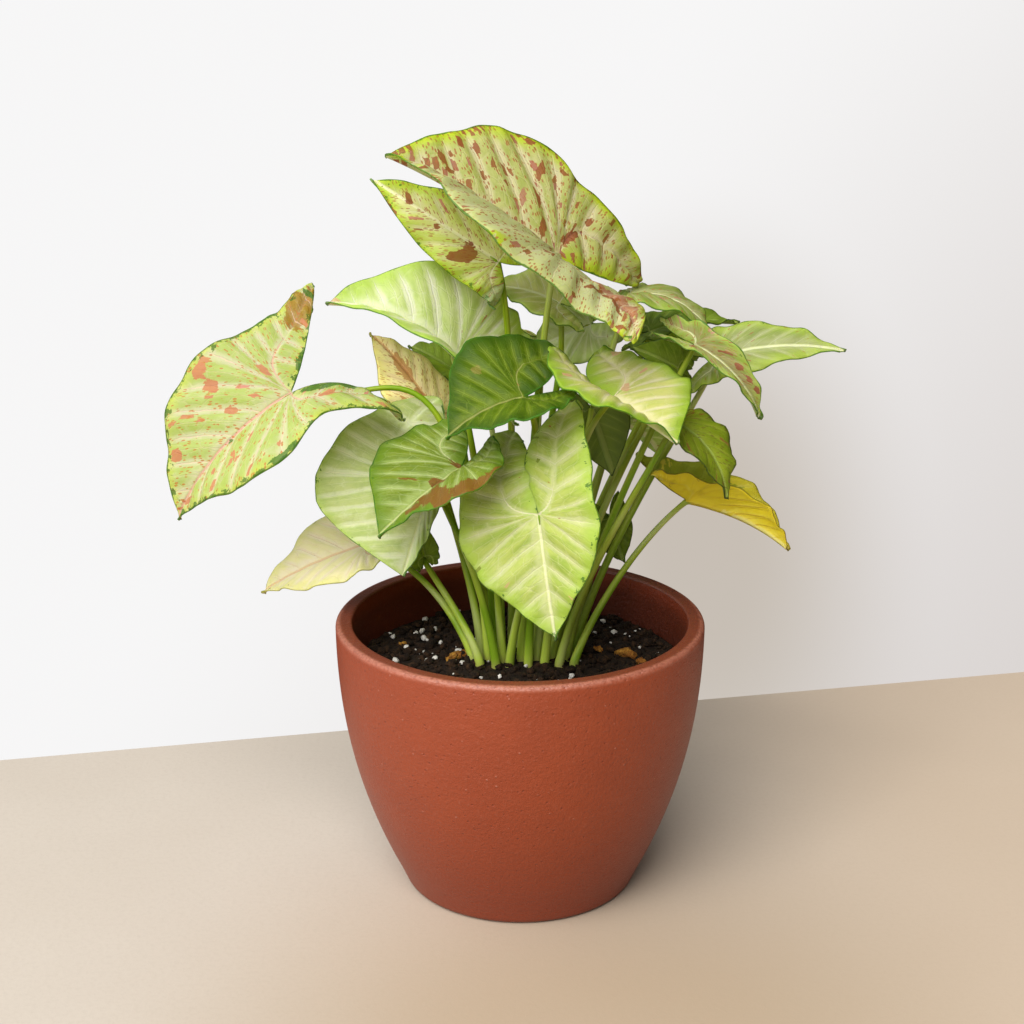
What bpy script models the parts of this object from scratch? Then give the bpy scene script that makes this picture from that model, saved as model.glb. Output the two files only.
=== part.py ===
"""Potted syngonium: a clay pot, its soil, and a clump of arrowhead leaves on their stalks.

Metres, +Z up. The origin is the middle of the pot's flat base, and -Y is the front.
"""

from dataclasses import dataclass
from math import cos, exp, pi, radians, sin, sqrt

import bmesh
import bpy
from mathutils import Matrix, Vector

# Driving sizes of the pot and its soil
POT_HEIGHT = 0.1214
POT_RIM_RADIUS = 0.080
POT_BASE_RADIUS = 0.050
POT_BELLY = 2.2
POT_WALL = 0.0073
POT_FLOOR = 0.008
FLOOR_CORNER = 0.004
RIM_ROUND = 0.0022
LIP_ROUND = 0.0012
BASE_ROUND = 0.004
POT_SIDES = 48
WALL_LEVELS = (0.102, 0.082, 0.062, 0.045, 0.030, 0.017, 0.009)
INSIDE_LEVELS = (0.014, 0.030, 0.045, 0.062, 0.082, 0.102)

SOIL_EDGE = 0.0995
SOIL_CROWN = 0.0020
SOIL_SIDES = 48
SOIL_RINGS = 4
SOIL_LEVELS = (0.082, 0.062, 0.045, 0.030, 0.014)
GAP = 0.0003
WALL_GAP = 0.00045
SEAT_GAP = 0.0005

# Driving sizes of the leaves
BLADE_THICKNESS = 0.0008
ACROSS = 3
ALONG = 10
STALK_SPANS = 7
HOLE_DEPTH = 0.011
HOLE_GAP = 0.0006
HOLE_SIDES = 8
FREE_RISE = 0.0015
STALK_TAPER = 0.75

# The outline that all the blades share, as shares of the width, the length or the lobe
HEEL_OUT = 0.55
HEEL_BACK = 1.02
HEEL_AHEAD = 0.06
WAIST_BACK = 0.35
CHEEK_AHEAD = 0.32
POINT_AHEAD = 0.74
PINCH_PLACE = -0.3
PINCH_SPREAD = 0.2
WAVES = 2.5


@dataclass
class Leaf:
    """One leaf. Pairs are for its left and right half, seen from above with the tip ahead.

    base and tip are where the stalk meets the blade and where the blade ends. face is the way
    that the top of the blade looks: degrees from the front towards +X, then degrees above level.
    fold tips each half up from the midrib, curl bends it on towards the margin, droop is the bend
    along the midrib, and hang is the bend of the lobes. width, lobe and splay are the half width,
    the lobe's length and its angle from the line of the midrib. waist narrows the blade beside
    the stalk, and bulge fills out the lobe's inner edge. shoulder is how far ahead the blade is
    widest, sharp is how full it stays towards the tip, and wave is how much its margin ripples.

    root is where the stalk leaves the soil, lift is how far it rises before it leans, upright is
    how little it leans there, and reach is the length of its last bend, which leaves the blade at
    the angle lean from straight below. elbow is that bend's own place, where the stalk takes
    another way. stout is the stalk's radius at the soil.
    """

    name: str
    colour: str
    base: tuple
    tip: tuple
    face: tuple
    root: tuple
    width: tuple = (0.020, 0.020)
    lobe: tuple = (0.022, 0.022)
    splay: tuple = (30, 30)
    fold: tuple = (20, 20)
    curl: tuple = (-12, -12)
    hang: tuple = (15, 15)
    droop: float = 30
    shoulder: float = 0.18
    sharp: float = 0.38
    waist: tuple = (0.0, 0.0)
    bulge: tuple = (0.10, 0.10)
    wave: float = 0.0010
    lift: float = 0.050
    upright: float = 1.0
    reach: float = 0.030
    lean: float = 35
    stout: float = 0.0018
    elbow: tuple = ()


LEAVES = [
    Leaf("top_speckled", "cream", (0.015, 0.002, 0.276), (-0.054, -0.004, 0.320), (58, 38),
         (0.0005, -0.002), width=(0.042, 0.041), lobe=(0.062, 0.050), splay=(48, 45), fold=(47, 34), curl=(-55, -18),
         hang=(-50, 60), droop=22, shoulder=0.30, sharp=0.58, waist=(0, 0.10), lift=0.10),
    Leaf("back_speckled", "cream", (-0.009, 0.018, 0.273), (-0.062, 0.024, 0.307), (-22, 28),
         (-0.0035, 0.0155), width=(0.016, 0.017), lobe=(0.022, 0.021), splay=(50, 40), fold=(0, 22),
         curl=(-22, -10), hang=(70, 30), droop=28, shoulder=0.15, sharp=0.50, wave=0.002, lift=0.09,
         elbow=(-0.003, 0.036, 0.244)),
    Leaf("left_speckled", "cream", (-0.095, -0.008, 0.223), (-0.144, -0.014, 0.170), (-45, 38),
         (-0.014, -0.002), width=(0.037, 0.038), lobe=(0.050, 0.050), splay=(20, 50), fold=(15, 34),
         curl=(-16, -10), hang=(90, 2), droop=46, shoulder=0.25, sharp=0.38, waist=(0.22, 0.10),
         lift=0.18, reach=0.05, elbow=(-0.056, 0.016, 0.215), upright=4.0),
    Leaf("upper_pale", "lime", (-0.027, 0.026, 0.231), (-0.082, 0.018, 0.256), (0, 60),
         (-0.0105, 0.004), width=(0.035, 0.035), lobe=(0.038, 0.040), splay=(30, 38), fold=(39, 39),
         curl=(-10, -5), hang=(10, -12), droop=60, shoulder=0.10, sharp=0.32, lift=0.07,
         elbow=(-0.024, 0.018, 0.212)),
    Leaf("middle_green", "green", (0.001, -0.028, 0.226), (-0.030, -0.036, 0.211), (0, 68),
         (0.0035, -0.008), width=(0.032, 0.034), lobe=(0.023, 0.029), splay=(38, 31), fold=(28, 15),
         curl=(-10, 6), hang=(-20, -20), droop=44, shoulder=0.22, sharp=0.22, lift=0.07,
         elbow=(0.011, -0.006, 0.213)),
    Leaf("middle_lime", "lime", (0.037, -0.021, 0.224), (0.062, -0.047, 0.212), (0, 85),
         (0.0105, -0.008), width=(0.033, 0.033), lobe=(0.036, 0.035), splay=(37, 28), fold=(22, 42),
         curl=(-18, -40), hang=(6, -40), droop=10, shoulder=0.21, sharp=0.39, lift=0.07,
         bulge=(0.22, 0.22)),
    Leaf("left_rust", "green", (-0.024, -0.025, 0.196), (-0.057, -0.053, 0.175), (-34, 49),
         (-0.0075, -0.002), width=(0.030, 0.033), lobe=(0.020, 0.025), splay=(20, 45), fold=(39, 17),
         curl=(-35, -14), hang=(-50, -10), droop=16, shoulder=0.27, sharp=0.34),
    Leaf("front_lime", "lime", (0.007, -0.042, 0.181), (0.014, -0.056, 0.132), (-42, 17),
         (-0.0045, -0.008), width=(0.028, 0.034), lobe=(0.049, 0.040), splay=(14, 30), fold=(0, 26),
         curl=(-10, -4), hang=(40, 72), droop=4, shoulder=0.14, sharp=0.32, lift=0.04,
         bulge=(0.25, 0.16)),
    Leaf("left_grey", "grey", (-0.037, 0.000, 0.184), (-0.049, -0.026, 0.149), (-20, 10),
         (-0.0105, -0.008), width=(0.008, 0.047), lobe=(0.014, 0.036), splay=(25, 10), fold=(24, 24),
         curl=(-8, 10), hang=(10, -25), droop=6, shoulder=0.34, sharp=0.80,
         elbow=(-0.030, -0.008, 0.165)),
    Leaf("left_cream", "yellow", (-0.066, 0.012, 0.151), (-0.115, 0.022, 0.125), (-23, 60),
         (-0.0205, -0.002), width=(0.023, 0.024), fold=(18, 18), droop=20, lift=0.02,
         lobe=(0.016, 0.018)),
    Leaf("left_tan", "yellow", (-0.035, 0.027, 0.202), (-0.065, 0.037, 0.239), (36, 30),
         (-0.017, 0.004), width=(0.020, 0.019), lobe=(0.011, 0.012), fold=(2, -8), curl=(-7, -16),
         droop=34, shoulder=0.21, sharp=0.47),
    Leaf("left_small", "olive", (-0.030, 0.058, 0.218), (-0.050, 0.064, 0.228), (0, 70),
         (-0.014, 0.010), width=(0.012, 0.012), lobe=(0.012, 0.012), droop=20),
    Leaf("back_olive", "grey", (0.017, 0.038, 0.252), (-0.012, 0.050, 0.257), (0, 65), (-0.001, 0.010),
         width=(0.018, 0.018), lobe=(0.018, 0.018), droop=40, lift=0.07),
    Leaf("back_mist", "grey", (0.031, 0.052, 0.240), (0.007, 0.064, 0.226), (-10, 30), (0.006, 0.010),
         width=(0.018, 0.018), lobe=(0.018, 0.018), droop=30, lift=0.07),
    Leaf("right_arched", "grey", (0.046, 0.030, 0.257), (0.083, 0.021, 0.237), (10, 85),
         (0.0105, 0.004), width=(0.017, 0.017), lobe=(0.013, 0.014), fold=(8, 8), curl=(-20, -20),
         hang=(10, 10), droop=90, sharp=0.36, lift=0.07),
    Leaf("right_thin", "olive", (0.057, 0.046, 0.238), (0.098, 0.056, 0.240), (-10, 75),
         (0.017, 0.005), width=(0.012, 0.014), lobe=(0.018, 0.018), droop=30, lift=0.06),
    Leaf("right_long", "grey", (0.085, 0.034, 0.229), (0.140, 0.024, 0.234), (-10, 53),
         (0.0235, 0.005), width=(0.014, 0.013), lobe=(0.022, 0.023), splay=(33, 39), fold=(18, 5),
         curl=(-10, -18), hang=(8, 20), droop=45, shoulder=0.12, elbow=(0.080, 0.048, 0.205)),
    Leaf("right_pink", "pink", (0.073, 0.008, 0.240), (0.101, 0.002, 0.209), (-24, 60), (0.020, -0.001),
         width=(0.010, 0.010), lobe=(0.020, 0.019), splay=(17, 20), fold=(62, 44), curl=(-2, -10),
         droop=84, sharp=0.39, elbow=(0.068, 0.020, 0.224)),
    Leaf("right_olive", "olive", (0.064, -0.004, 0.210), (0.086, -0.018, 0.180), (50, 30),
         (0.017, -0.008), width=(0.018, 0.018), lobe=(0.010, 0.010), fold=(10, 12), curl=(-12, -2),
         droop=75, shoulder=0.21, elbow=(0.057, -0.006, 0.190)),
    Leaf("right_yellow", "yellow", (0.073, 0.022, 0.168), (0.120, 0.024, 0.144), (0, 76),
         (0.0235, -0.007), width=(0.017, 0.017), lobe=(0.029, 0.023), splay=(38, 50), fold=(56, 74),
         curl=(-8, -12), hang=(-8, 22), droop=34, shoulder=0.29, sharp=0.44, lift=0.02, reach=0.03),
    Leaf("low_dark", "olive", (0.040, 0.029, 0.157), (0.046, 0.021, 0.139), (0, 15), (0.0265, 0.0105),
         width=(0.009, 0.012), lobe=(0.013, 0.012), fold=(10, 10), droop=30),
    Leaf("low_curled", "olive", (-0.041, -0.004, 0.150), (-0.046, -0.006, 0.170), (10, 15),
         (-0.0175, -0.008), width=(0.008, 0.007), lobe=(0.006, 0.006), fold=(25, 25), droop=20,
         lift=0.02),
    Leaf("middle_shade", "olive", (0.030, 0.006, 0.213), (0.040, 0.008, 0.183), (180, 10),
         (0.007, -0.002), width=(0.015, 0.015), lobe=(0.014, 0.014), fold=(8, 8), droop=15,
         elbow=(0.027, 0.000, 0.190)),
    Leaf("right_shade", "olive", (0.072, 0.066, 0.223), (0.048, 0.061, 0.239), (0, 50), (0.013, 0.011),
         width=(0.015, 0.015), lobe=(0.014, 0.014), droop=35),
    Leaf("right_shadow", "olive", (0.068, 0.024, 0.226), (0.047, 0.017, 0.237), (0, 40),
         (0.0135, -0.002), width=(0.010, 0.010), lobe=(0.010, 0.010), droop=30),
    Leaf("rear_left", "lime", (-0.016, 0.080, 0.200), (-0.038, 0.120, 0.172), (200, 60),
         (-0.008, 0.01), width=(0.024, 0.024), lobe=(0.022, 0.022), droop=45, shoulder=0.2, lift=0.05),
    Leaf("rear_middle", "cream", (0.010, 0.080, 0.228), (0.006, 0.128, 0.195), (180, 55),
         (0.003, 0.016), width=(0.030, 0.030), lobe=(0.034, 0.034), droop=45, shoulder=0.2, lift=0.06),
    Leaf("rear_right", "green", (0.046, 0.090, 0.186), (0.072, 0.128, 0.156), (150, 60),
         (0.0195, 0.0165), width=(0.026, 0.026), lobe=(0.02, 0.02), droop=45, shoulder=0.2),
]

COLOURS = {
    "clay": (0.36, 0.115, 0.06),
    "soil": (0.035, 0.024, 0.018),
    "stalk": (0.24, 0.34, 0.07),
    "lime": (0.50, 0.62, 0.22),
    "green": (0.20, 0.34, 0.07),
    "cream": (0.62, 0.62, 0.30),
    "yellow": (0.62, 0.50, 0.14),
    "grey": (0.46, 0.54, 0.30),
    "olive": (0.13, 0.20, 0.03),
    "pink": (0.50, 0.42, 0.28),
}


def clear_scene():
    """The part starts from an empty scene."""
    for item in list(bpy.data.objects):
        bpy.data.objects.remove(item)


def new_collection(name):
    collection = bpy.data.collections.new(name)
    bpy.context.scene.collection.children.link(collection)
    return collection


def material(name, roughness):
    found = bpy.data.materials.get(name)
    if found:
        return found
    made = bpy.data.materials.new(name)
    made.use_nodes = True
    shader = made.node_tree.nodes["Principled BSDF"]
    shader.inputs["Base Color"].default_value = (*COLOURS[name], 1.0)
    shader.inputs["Roughness"].default_value = roughness
    shader.inputs["Metallic"].default_value = 0.0
    made.diffuse_color = (*COLOURS[name], 1.0)
    return made


def add_object(name, data, collection, finish):
    item = bpy.data.objects.new(name, data)
    data.materials.append(finish)
    collection.objects.link(item)
    return item


def arc(centre_x, centre_z, radius, start, end, steps):
    """Points on an arc in the X-Z plane, from start to end in degrees."""
    points = []
    for i in range(steps + 1):
        turn = radians(start + (end - start) * i / steps)
        points.append((centre_x + radius * cos(turn), centre_z + radius * sin(turn)))
    return points


def turned(name, profile, sides, collection, finish):
    """A turned solid: the profile runs from the axis at the top, down outside, to the axis."""
    outline = bpy.data.meshes.new(name)
    edges = [(i, i + 1) for i in range(len(profile) - 1)]
    outline.from_pydata([(x, 0.0, z) for x, z in profile], edges, [])
    item = add_object(name, outline, collection, finish)
    screw = item.modifiers.new("Turn", "SCREW")
    screw.steps = sides
    screw.render_steps = sides
    screw.use_merge_vertices = True
    screw.merge_threshold = 0.00001
    screw.use_smooth_shade = True
    return item


def outer_radius(height):
    """The pot's outer wall bellies in towards the base."""
    depth = (POT_HEIGHT - height) / POT_HEIGHT
    return POT_RIM_RADIUS - (POT_RIM_RADIUS - POT_BASE_RADIUS) * depth ** POT_BELLY


def inner_radius(height):
    """The wall is as thick all the way down."""
    return outer_radius(height) - POT_WALL


def pot_profile():
    """From the middle of the floor inside, over the rim, to the middle of the base."""
    top = POT_HEIGHT
    wall_top = top - RIM_ROUND
    outer = arc(POT_RIM_RADIUS - RIM_ROUND, wall_top, RIM_ROUND, 90, 0, 3)
    outer += [(outer_radius(z), z) for z in WALL_LEVELS]
    foot_x = outer_radius(BASE_ROUND) - BASE_ROUND
    outer += arc(foot_x, BASE_ROUND, BASE_ROUND, -15, -90, 3)
    outer.append((0.0, 0.0))
    lip_x = POT_RIM_RADIUS - POT_WALL + LIP_ROUND
    lip = arc(lip_x, top - LIP_ROUND, LIP_ROUND, 180, 90, 2)
    inner = [(0.0, POT_FLOOR), (inner_radius(POT_FLOOR) - FLOOR_CORNER, POT_FLOOR)]
    inner += [(inner_radius(z), z) for z in INSIDE_LEVELS]
    return inner + lip + outer


def make_pot(collection):
    return turned("pot", pot_profile(), POT_SIDES, collection, material("clay", 0.75))


def soil_height(x, y):
    """The soil is a little higher in the middle of the pot."""
    away = min(1.0, sqrt(x * x + y * y) / inner_radius(SOIL_EDGE))
    return SOIL_EDGE + SOIL_CROWN * (1.0 - away * away)


def soil_profile():
    """The soil fills the pot from its floor, a hair clear of the wall."""
    edge = inner_radius(SOIL_EDGE) - WALL_GAP
    rings = [edge * i / SOIL_RINGS for i in range(SOIL_RINGS + 1)]
    top = [(x, soil_height(x, 0.0)) for x in rings]
    side = [(inner_radius(z) - WALL_GAP, z) for z in SOIL_LEVELS]
    floor = POT_FLOOR + GAP
    return top + side + [(inner_radius(floor) - FLOOR_CORNER - WALL_GAP, floor), (0.0, floor)]


def make_soil(collection, cutters):
    """Each stalk stands in its own plain hole."""
    soil = turned("soil", soil_profile(), SOIL_SIDES, collection, material("soil", 0.95))
    holes = bmesh.new()
    for leaf in LEAVES:
        x, y = leaf.root
        top = soil_height(x, y)
        depth = HOLE_DEPTH * 2
        place = Matrix.Translation((x, y, top))
        bmesh.ops.create_cone(holes, cap_ends=True, segments=HOLE_SIDES, radius1=leaf.stout + HOLE_GAP,
                              radius2=leaf.stout + HOLE_GAP, depth=depth, matrix=place)
    mesh = bpy.data.meshes.new("stalk_holes")
    holes.to_mesh(mesh)
    holes.free()
    cutter = bpy.data.objects.new("stalk_holes", mesh)
    cutters.objects.link(cutter)
    cutter.hide_render = True
    cutter.display_type = "WIRE"
    cut = soil.modifiers.new("Stalk holes", "BOOLEAN")
    cut.operation = "DIFFERENCE"
    cut.solver = "EXACT"
    cut.object = cutter
    return soil


def half(pair, side):
    """The left or right value of a pair; side is -1 or 1."""
    return pair[0] if side < 0 else pair[1]


def bezier(points, t):
    s = 1.0 - t
    a, b, c, d = points
    return a * s ** 3 + b * (3 * s * s * t) + c * (3 * s * t * t) + d * t ** 3


def blade_length(leaf):
    """Length along the bent midrib, whose chord runs from base to tip."""
    chord = (Vector(leaf.tip) - Vector(leaf.base)).length
    bend = radians(leaf.droop)
    return chord * (bend / 2) / sin(bend / 2)


def flat_point(leaf, side, u, v):
    """Across and along on the flat half: u is 0 at the midrib and 1 at the margin.

    v runs from the tip of the lobe at -1, past the stalk at 0, to the tip of the leaf at 1.
    """
    length = blade_length(leaf)
    width = half(leaf.width, side)
    lobe = half(leaf.lobe, side)
    splay = radians(half(leaf.splay, side))
    lobe_tip = Vector((lobe * sin(splay), -lobe * cos(splay)))
    widest = Vector((width, leaf.shoulder * length))
    if v < 0:
        heel_x = lobe_tip.x + (width - lobe_tip.x) * HEEL_OUT
        heel = Vector((heel_x, HEEL_BACK * lobe_tip.y + HEEL_AHEAD * length))
        waist = Vector((width, WAIST_BACK * lobe_tip.y))
        margin = bezier((lobe_tip, heel, waist, widest), 1.0 + v)
        inward = Vector((-cos(splay), -sin(splay))) * lobe * half(leaf.bulge, side)
        inner = lobe_tip * -v + inward * (4 * -v * (1.0 + v))
    else:
        cheek = Vector((width, (leaf.shoulder + CHEEK_AHEAD) * length))
        point = Vector((leaf.sharp * width, POINT_AHEAD * length))
        margin = bezier((widest, cheek, point, Vector((0.0, length))), v)
        inner = Vector((0.0, v * length))
    pinch = half(leaf.waist, side) * exp(-((v - PINCH_PLACE) / PINCH_SPREAD) ** 2)
    margin.x *= 1.0 - pinch
    return inner.lerp(margin, u)


def blade_point(leaf, side, across, along, lift=0.0, rim=0.0, v=0.0):
    """A point of the folded and bent blade, in place on the plant."""
    base = Vector(leaf.base)
    tip = Vector(leaf.tip)
    length = blade_length(leaf)
    droop = radians(leaf.droop)
    lobe = half(leaf.lobe, side)
    hang = radians(half(leaf.hang, side)) or 0.001
    fold = radians(half(leaf.fold, side))
    curl = radians(half(leaf.curl, side)) / half(leaf.width, side)
    x = (sin(fold + curl * across) - sin(fold)) / curl
    rise = (cos(fold) - cos(fold + curl * across)) / curl + lift
    rise += leaf.wave * rim * rim * sin(2 * pi * (WAVES * v + 0.25 * side))
    if along >= 0:
        turn = -droop * along / length
        y = -length / droop * sin(turn)
        z = -length / droop * (1.0 - cos(turn))
    else:
        turn = -hang * along / lobe
        y = -lobe / hang * sin(turn)
        z = -lobe / hang * (1.0 - cos(turn))
    y -= rise * sin(turn)
    z += rise * cos(turn)
    level = droop / 2
    y, z = y * cos(level) - z * sin(level), y * sin(level) + z * cos(level)
    ahead = (tip - base).normalized()
    compass, height = radians(leaf.face[0]), radians(leaf.face[1])
    looks = Vector((sin(compass) * cos(height), -cos(compass) * cos(height), sin(height)))
    up = (looks - ahead * looks.dot(ahead)).normalized()
    right = ahead.cross(up)
    return base + right * (x * side) + ahead * y + up * z


def make_blade(leaf, collection):
    """Two half blades that share the midrib, given their thickness."""
    sheet = bmesh.new()
    for side in (-1, 1):
        grid = bmesh.ops.create_grid(sheet, x_segments=ACROSS, y_segments=ALONG, size=0.5)
        for vert in grid["verts"]:
            u = vert.co.x + 0.5
            v = 2.0 * vert.co.y
            across, along = flat_point(leaf, side, u, v)
            vert.co = blade_point(leaf, side, across, along, 0.0, u, v)
    bmesh.ops.remove_doubles(sheet, verts=sheet.verts, dist=0.00002)
    bmesh.ops.triangulate(sheet, faces=sheet.faces)
    bmesh.ops.recalc_face_normals(sheet, faces=sheet.faces)
    mesh = bpy.data.meshes.new("blade_" + leaf.name)
    sheet.to_mesh(mesh)
    sheet.free()
    mesh.shade_smooth()
    item = add_object("blade_" + leaf.name, mesh, collection, material(leaf.colour, 0.5))
    wall = item.modifiers.new("Thickness", "SOLIDIFY")
    wall.thickness = BLADE_THICKNESS
    wall.offset = 0.0
    return item


def stalk_handles(leaf):
    """The four handles of the stalk's curve, from the soil to just below the blade."""
    x, y = leaf.root
    soil = Vector((x, y, soil_height(x, y) + FREE_RISE))
    base = Vector(leaf.base)
    below = (base - blade_point(leaf, 1, 0.0, 0.0, 0.001)).normalized()
    behind = (blade_point(leaf, 1, 0.0, -0.001) - base).normalized()
    away = below * cos(radians(leaf.lean)) + behind * sin(radians(leaf.lean))
    if leaf.elbow:
        away = (Vector(leaf.elbow) - base).normalized()
    slant = sqrt(max(0.0, 1.0 - away.dot(below) ** 2))
    seat = BLADE_THICKNESS / 2 + SEAT_GAP + leaf.stout * STALK_TAPER * slant
    end = base + below * seat
    last = Vector(leaf.elbow) if leaf.elbow else end + away * leaf.reach
    aim = last if leaf.elbow else end
    rising = ((aim - soil).normalized() + Vector((0.0, 0.0, leaf.upright))).normalized()
    return soil, soil + rising * leaf.lift, last, end


def make_stalk(leaf, collection):
    """A round stalk that stands in its hole and tapers towards the blade."""
    handles = stalk_handles(leaf)
    foot = handles[0] - Vector((0.0, 0.0, FREE_RISE + HOLE_DEPTH - GAP))
    points = [foot] + [bezier(handles, i / STALK_SPANS) for i in range(STALK_SPANS + 1)]
    curve = bpy.data.curves.new("stalk_" + leaf.name, "CURVE")
    curve.dimensions = "3D"
    curve.bevel_depth = leaf.stout
    curve.bevel_resolution = 2
    curve.use_fill_caps = True
    spline = curve.splines.new("POLY")
    spline.points.add(len(points) - 1)
    spline.use_smooth = True
    for i, (slot, place) in enumerate(zip(spline.points, points)):
        slot.co = (*place, 1.0)
        slot.radius = 1.0 - (1.0 - STALK_TAPER) * max(0, i - 1) / STALK_SPANS
    return add_object("stalk_" + leaf.name, curve, collection, material("stalk", 0.45))


clear_scene()
parts = new_collection("Potted syngonium")
cutters = new_collection("Cutters")
make_pot(parts)
make_soil(parts, cutters)
for each in LEAVES:
    make_blade(each, parts)
    make_stalk(each, parts)
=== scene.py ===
import random
from itertools import count
from math import cos, exp, pi, radians, sin, sqrt
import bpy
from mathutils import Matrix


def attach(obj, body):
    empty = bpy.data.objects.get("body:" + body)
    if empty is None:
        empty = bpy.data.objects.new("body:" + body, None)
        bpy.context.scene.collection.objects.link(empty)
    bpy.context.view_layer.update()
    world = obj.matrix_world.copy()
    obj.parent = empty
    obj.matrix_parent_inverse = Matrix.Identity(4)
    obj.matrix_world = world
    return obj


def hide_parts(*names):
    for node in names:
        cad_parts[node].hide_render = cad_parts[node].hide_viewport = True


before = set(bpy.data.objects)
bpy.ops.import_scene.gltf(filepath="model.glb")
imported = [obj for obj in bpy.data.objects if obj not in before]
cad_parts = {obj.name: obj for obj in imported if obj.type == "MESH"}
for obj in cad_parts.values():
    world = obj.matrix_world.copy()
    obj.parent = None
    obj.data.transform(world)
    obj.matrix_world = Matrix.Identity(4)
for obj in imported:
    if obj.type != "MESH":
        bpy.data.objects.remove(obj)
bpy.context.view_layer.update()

from types import SimpleNamespace

import bmesh
import bpy
from mathutils import Matrix, Vector, noise


# ---------------------------------------------------------------- the pot
# A round flower pot of red-brown fired clay with a flat rim and a belly that draws in to a narrow
# foot. It was turned on a wheel and left unglazed, so its skin is matt and finely pitted. A
# painted highlight lightens the outer corner of the rim, damp and painted shade darken the inside,
# and painted shade darkens it towards the foot.
POT_HEIGHT = 0.1214
RIM_RADIUS = 0.080
FOOT_RADIUS = 0.050
BELLY = 2.2
WALL = 0.0073
POT_FLOOR = 0.008
FLOOR_CORNER = 0.004
RIM_ROUND = 0.0022
LIP_ROUND = 0.0012
FOOT_ROUND = 0.004
INSIDE_FROM = 0.014
TURNS = 160

CLAY = (0.290, 0.048, 0.0120)
CLAY_DARK = (0.22, 0.033, 0.009)
CLAY_PALE = (0.46, 0.17, 0.11)
CLAY_DAMP_AND_SHADE = (0.055, 0.011, 0.005)
CLAY_DUSK = (0.15, 0.045, 0.026)


def outer_radius(height):
    depth = (POT_HEIGHT - height) / POT_HEIGHT
    return RIM_RADIUS - (RIM_RADIUS - FOOT_RADIUS) * depth ** BELLY


def inner_radius(height):
    return outer_radius(height) - WALL


def levels(start, end, steps):
    return [start + (end - start) * i / steps for i in range(steps + 1)]


def rounded(x, z, radius, start, end, steps):
    """Points on an arc of the profile, from start to end in degrees."""
    turns = [radians(turn) for turn in levels(start, end, steps)]
    return [(x + radius * cos(t), z + radius * sin(t)) for t in turns]


def placed(name, shape):
    """The finished bmesh as an object at the origin, shaded smooth."""
    mesh = bpy.data.meshes.new(name)
    shape.to_mesh(mesh)
    shape.free()
    mesh.shade_smooth()
    piece = bpy.data.objects.new(name, mesh)
    bpy.context.scene.collection.objects.link(piece)
    return piece


def turned(name, profile, steps):
    """A turned shape whose profile runs from the axis, out and back to the axis."""
    shape = bmesh.new()
    points = [shape.verts.new((x, 0, z)) for x, z in profile]
    lines = [shape.edges.new(pair) for pair in zip(points, points[1:])]
    bmesh.ops.spin(shape, geom=points + lines, cent=(0, 0, 0), axis=(0, 0, 1), angle=2 * pi,
                   steps=steps, use_merge=True)
    bmesh.ops.remove_doubles(shape, verts=shape.verts, dist=0.00001)
    bmesh.ops.recalc_face_normals(shape, faces=shape.faces)
    return placed(name, shape)


def fit(tree, kind, sockets=(), **settings):
    """One node, with a value or a signal for each socket that is named."""
    made = tree.nodes.new("ShaderNode" + kind)
    for key, value in settings.items():
        setattr(made, key, value)
    for key, value in dict(sockets).items():
        if isinstance(value, Signal):
            value.into(made.inputs[key])
        else:
            made.inputs[key].default_value = value
    return made


class Signal:
    """A value, place or colour on its way through a node tree, which adds up like a number."""

    def __init__(self, node, output=0):
        self.tree = node.id_data
        self.socket = node.outputs[output]

    def into(self, socket):
        self.tree.links.new(self.socket, socket)

    def math(self, operation, *others):
        made = fit(self.tree, "Math", enumerate((self, *others)), operation=operation)
        return Signal(made)

    def __add__(self, other):
        return self.math("ADD", other)

    def __sub__(self, other):
        return self.math("SUBTRACT", other)

    def __rsub__(self, other):
        return Signal(fit(self.tree, "Math", {0: other, 1: self}, operation="SUBTRACT"))

    def __mul__(self, other):
        return self.math("MULTIPLY", other)

    def __abs__(self):
        return self.math("ABSOLUTE")

    def scaled(self, share, start):
        """This value times a share, counted from a start."""
        return self.math("MULTIPLY_ADD", share, start)

    def fade(self, low, high, start=0.0, end=1.0):
        """A soft step from start to end as this value goes from low to high."""
        ends = {0: self, 1: low, 2: high, 3: start, 4: end}
        return Signal(fit(self.tree, "MapRange", ends, interpolation_type="SMOOTHSTEP"))

    def mix(self, under, over):
        """One colour laid over another, with this value as its share."""
        under, over = [(*c, 1) if isinstance(c, tuple) else c for c in (under, over)]
        return Signal(fit(self.tree, "Mix", {0: self, 6: under, 7: over}, data_type="RGBA"), 2)

    def parts(self, kind="SeparateXYZ"):
        split = fit(self.tree, kind, {0: self})
        return [Signal(split, i) for i in range(3)]

    def vector(self, operation, other=(0, 0, 0), output="Vector"):
        made = fit(self.tree, "VectorMath", {0: self, 1: other}, operation=operation)
        return Signal(made, output)

    def cloud(self, scale, detail, roughness, stretch=None):
        """Soft noise from 0 to 1 at this place, stretched where a vector of scales is given."""
        place = self
        if stretch:
            place = Signal(fit(self.tree, "Mapping", {"Vector": self, "Scale": stretch}))
        return Signal(fit(self.tree, "TexNoise", {"Vector": place, "Scale": scale,
                                                  "Detail": detail, "Roughness": roughness}))

    def cells(self, scale, randomness=1.0, **settings):
        """A node that cuts space into cells, each with a distance from its middle and a colour."""
        return fit(self.tree, "TexVoronoi", {"Vector": self, "Scale": scale,
                                             "Randomness": randomness}, **settings)


def new_finish(name, roughness, **fixed):
    """A material with its shader, and the values that are the same all over it."""
    finish = bpy.data.materials.new(name)
    finish.use_nodes = True
    shader = finish.node_tree.nodes["Principled BSDF"]
    shader.inputs["Roughness"].default_value = roughness
    for key, value in fixed.items():
        shader.inputs[key.replace("_", " ")].default_value = value
    return finish, finish.node_tree, shader


def place_on(tree):
    return Signal(fit(tree, "TexCoord"), "Object")


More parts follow.
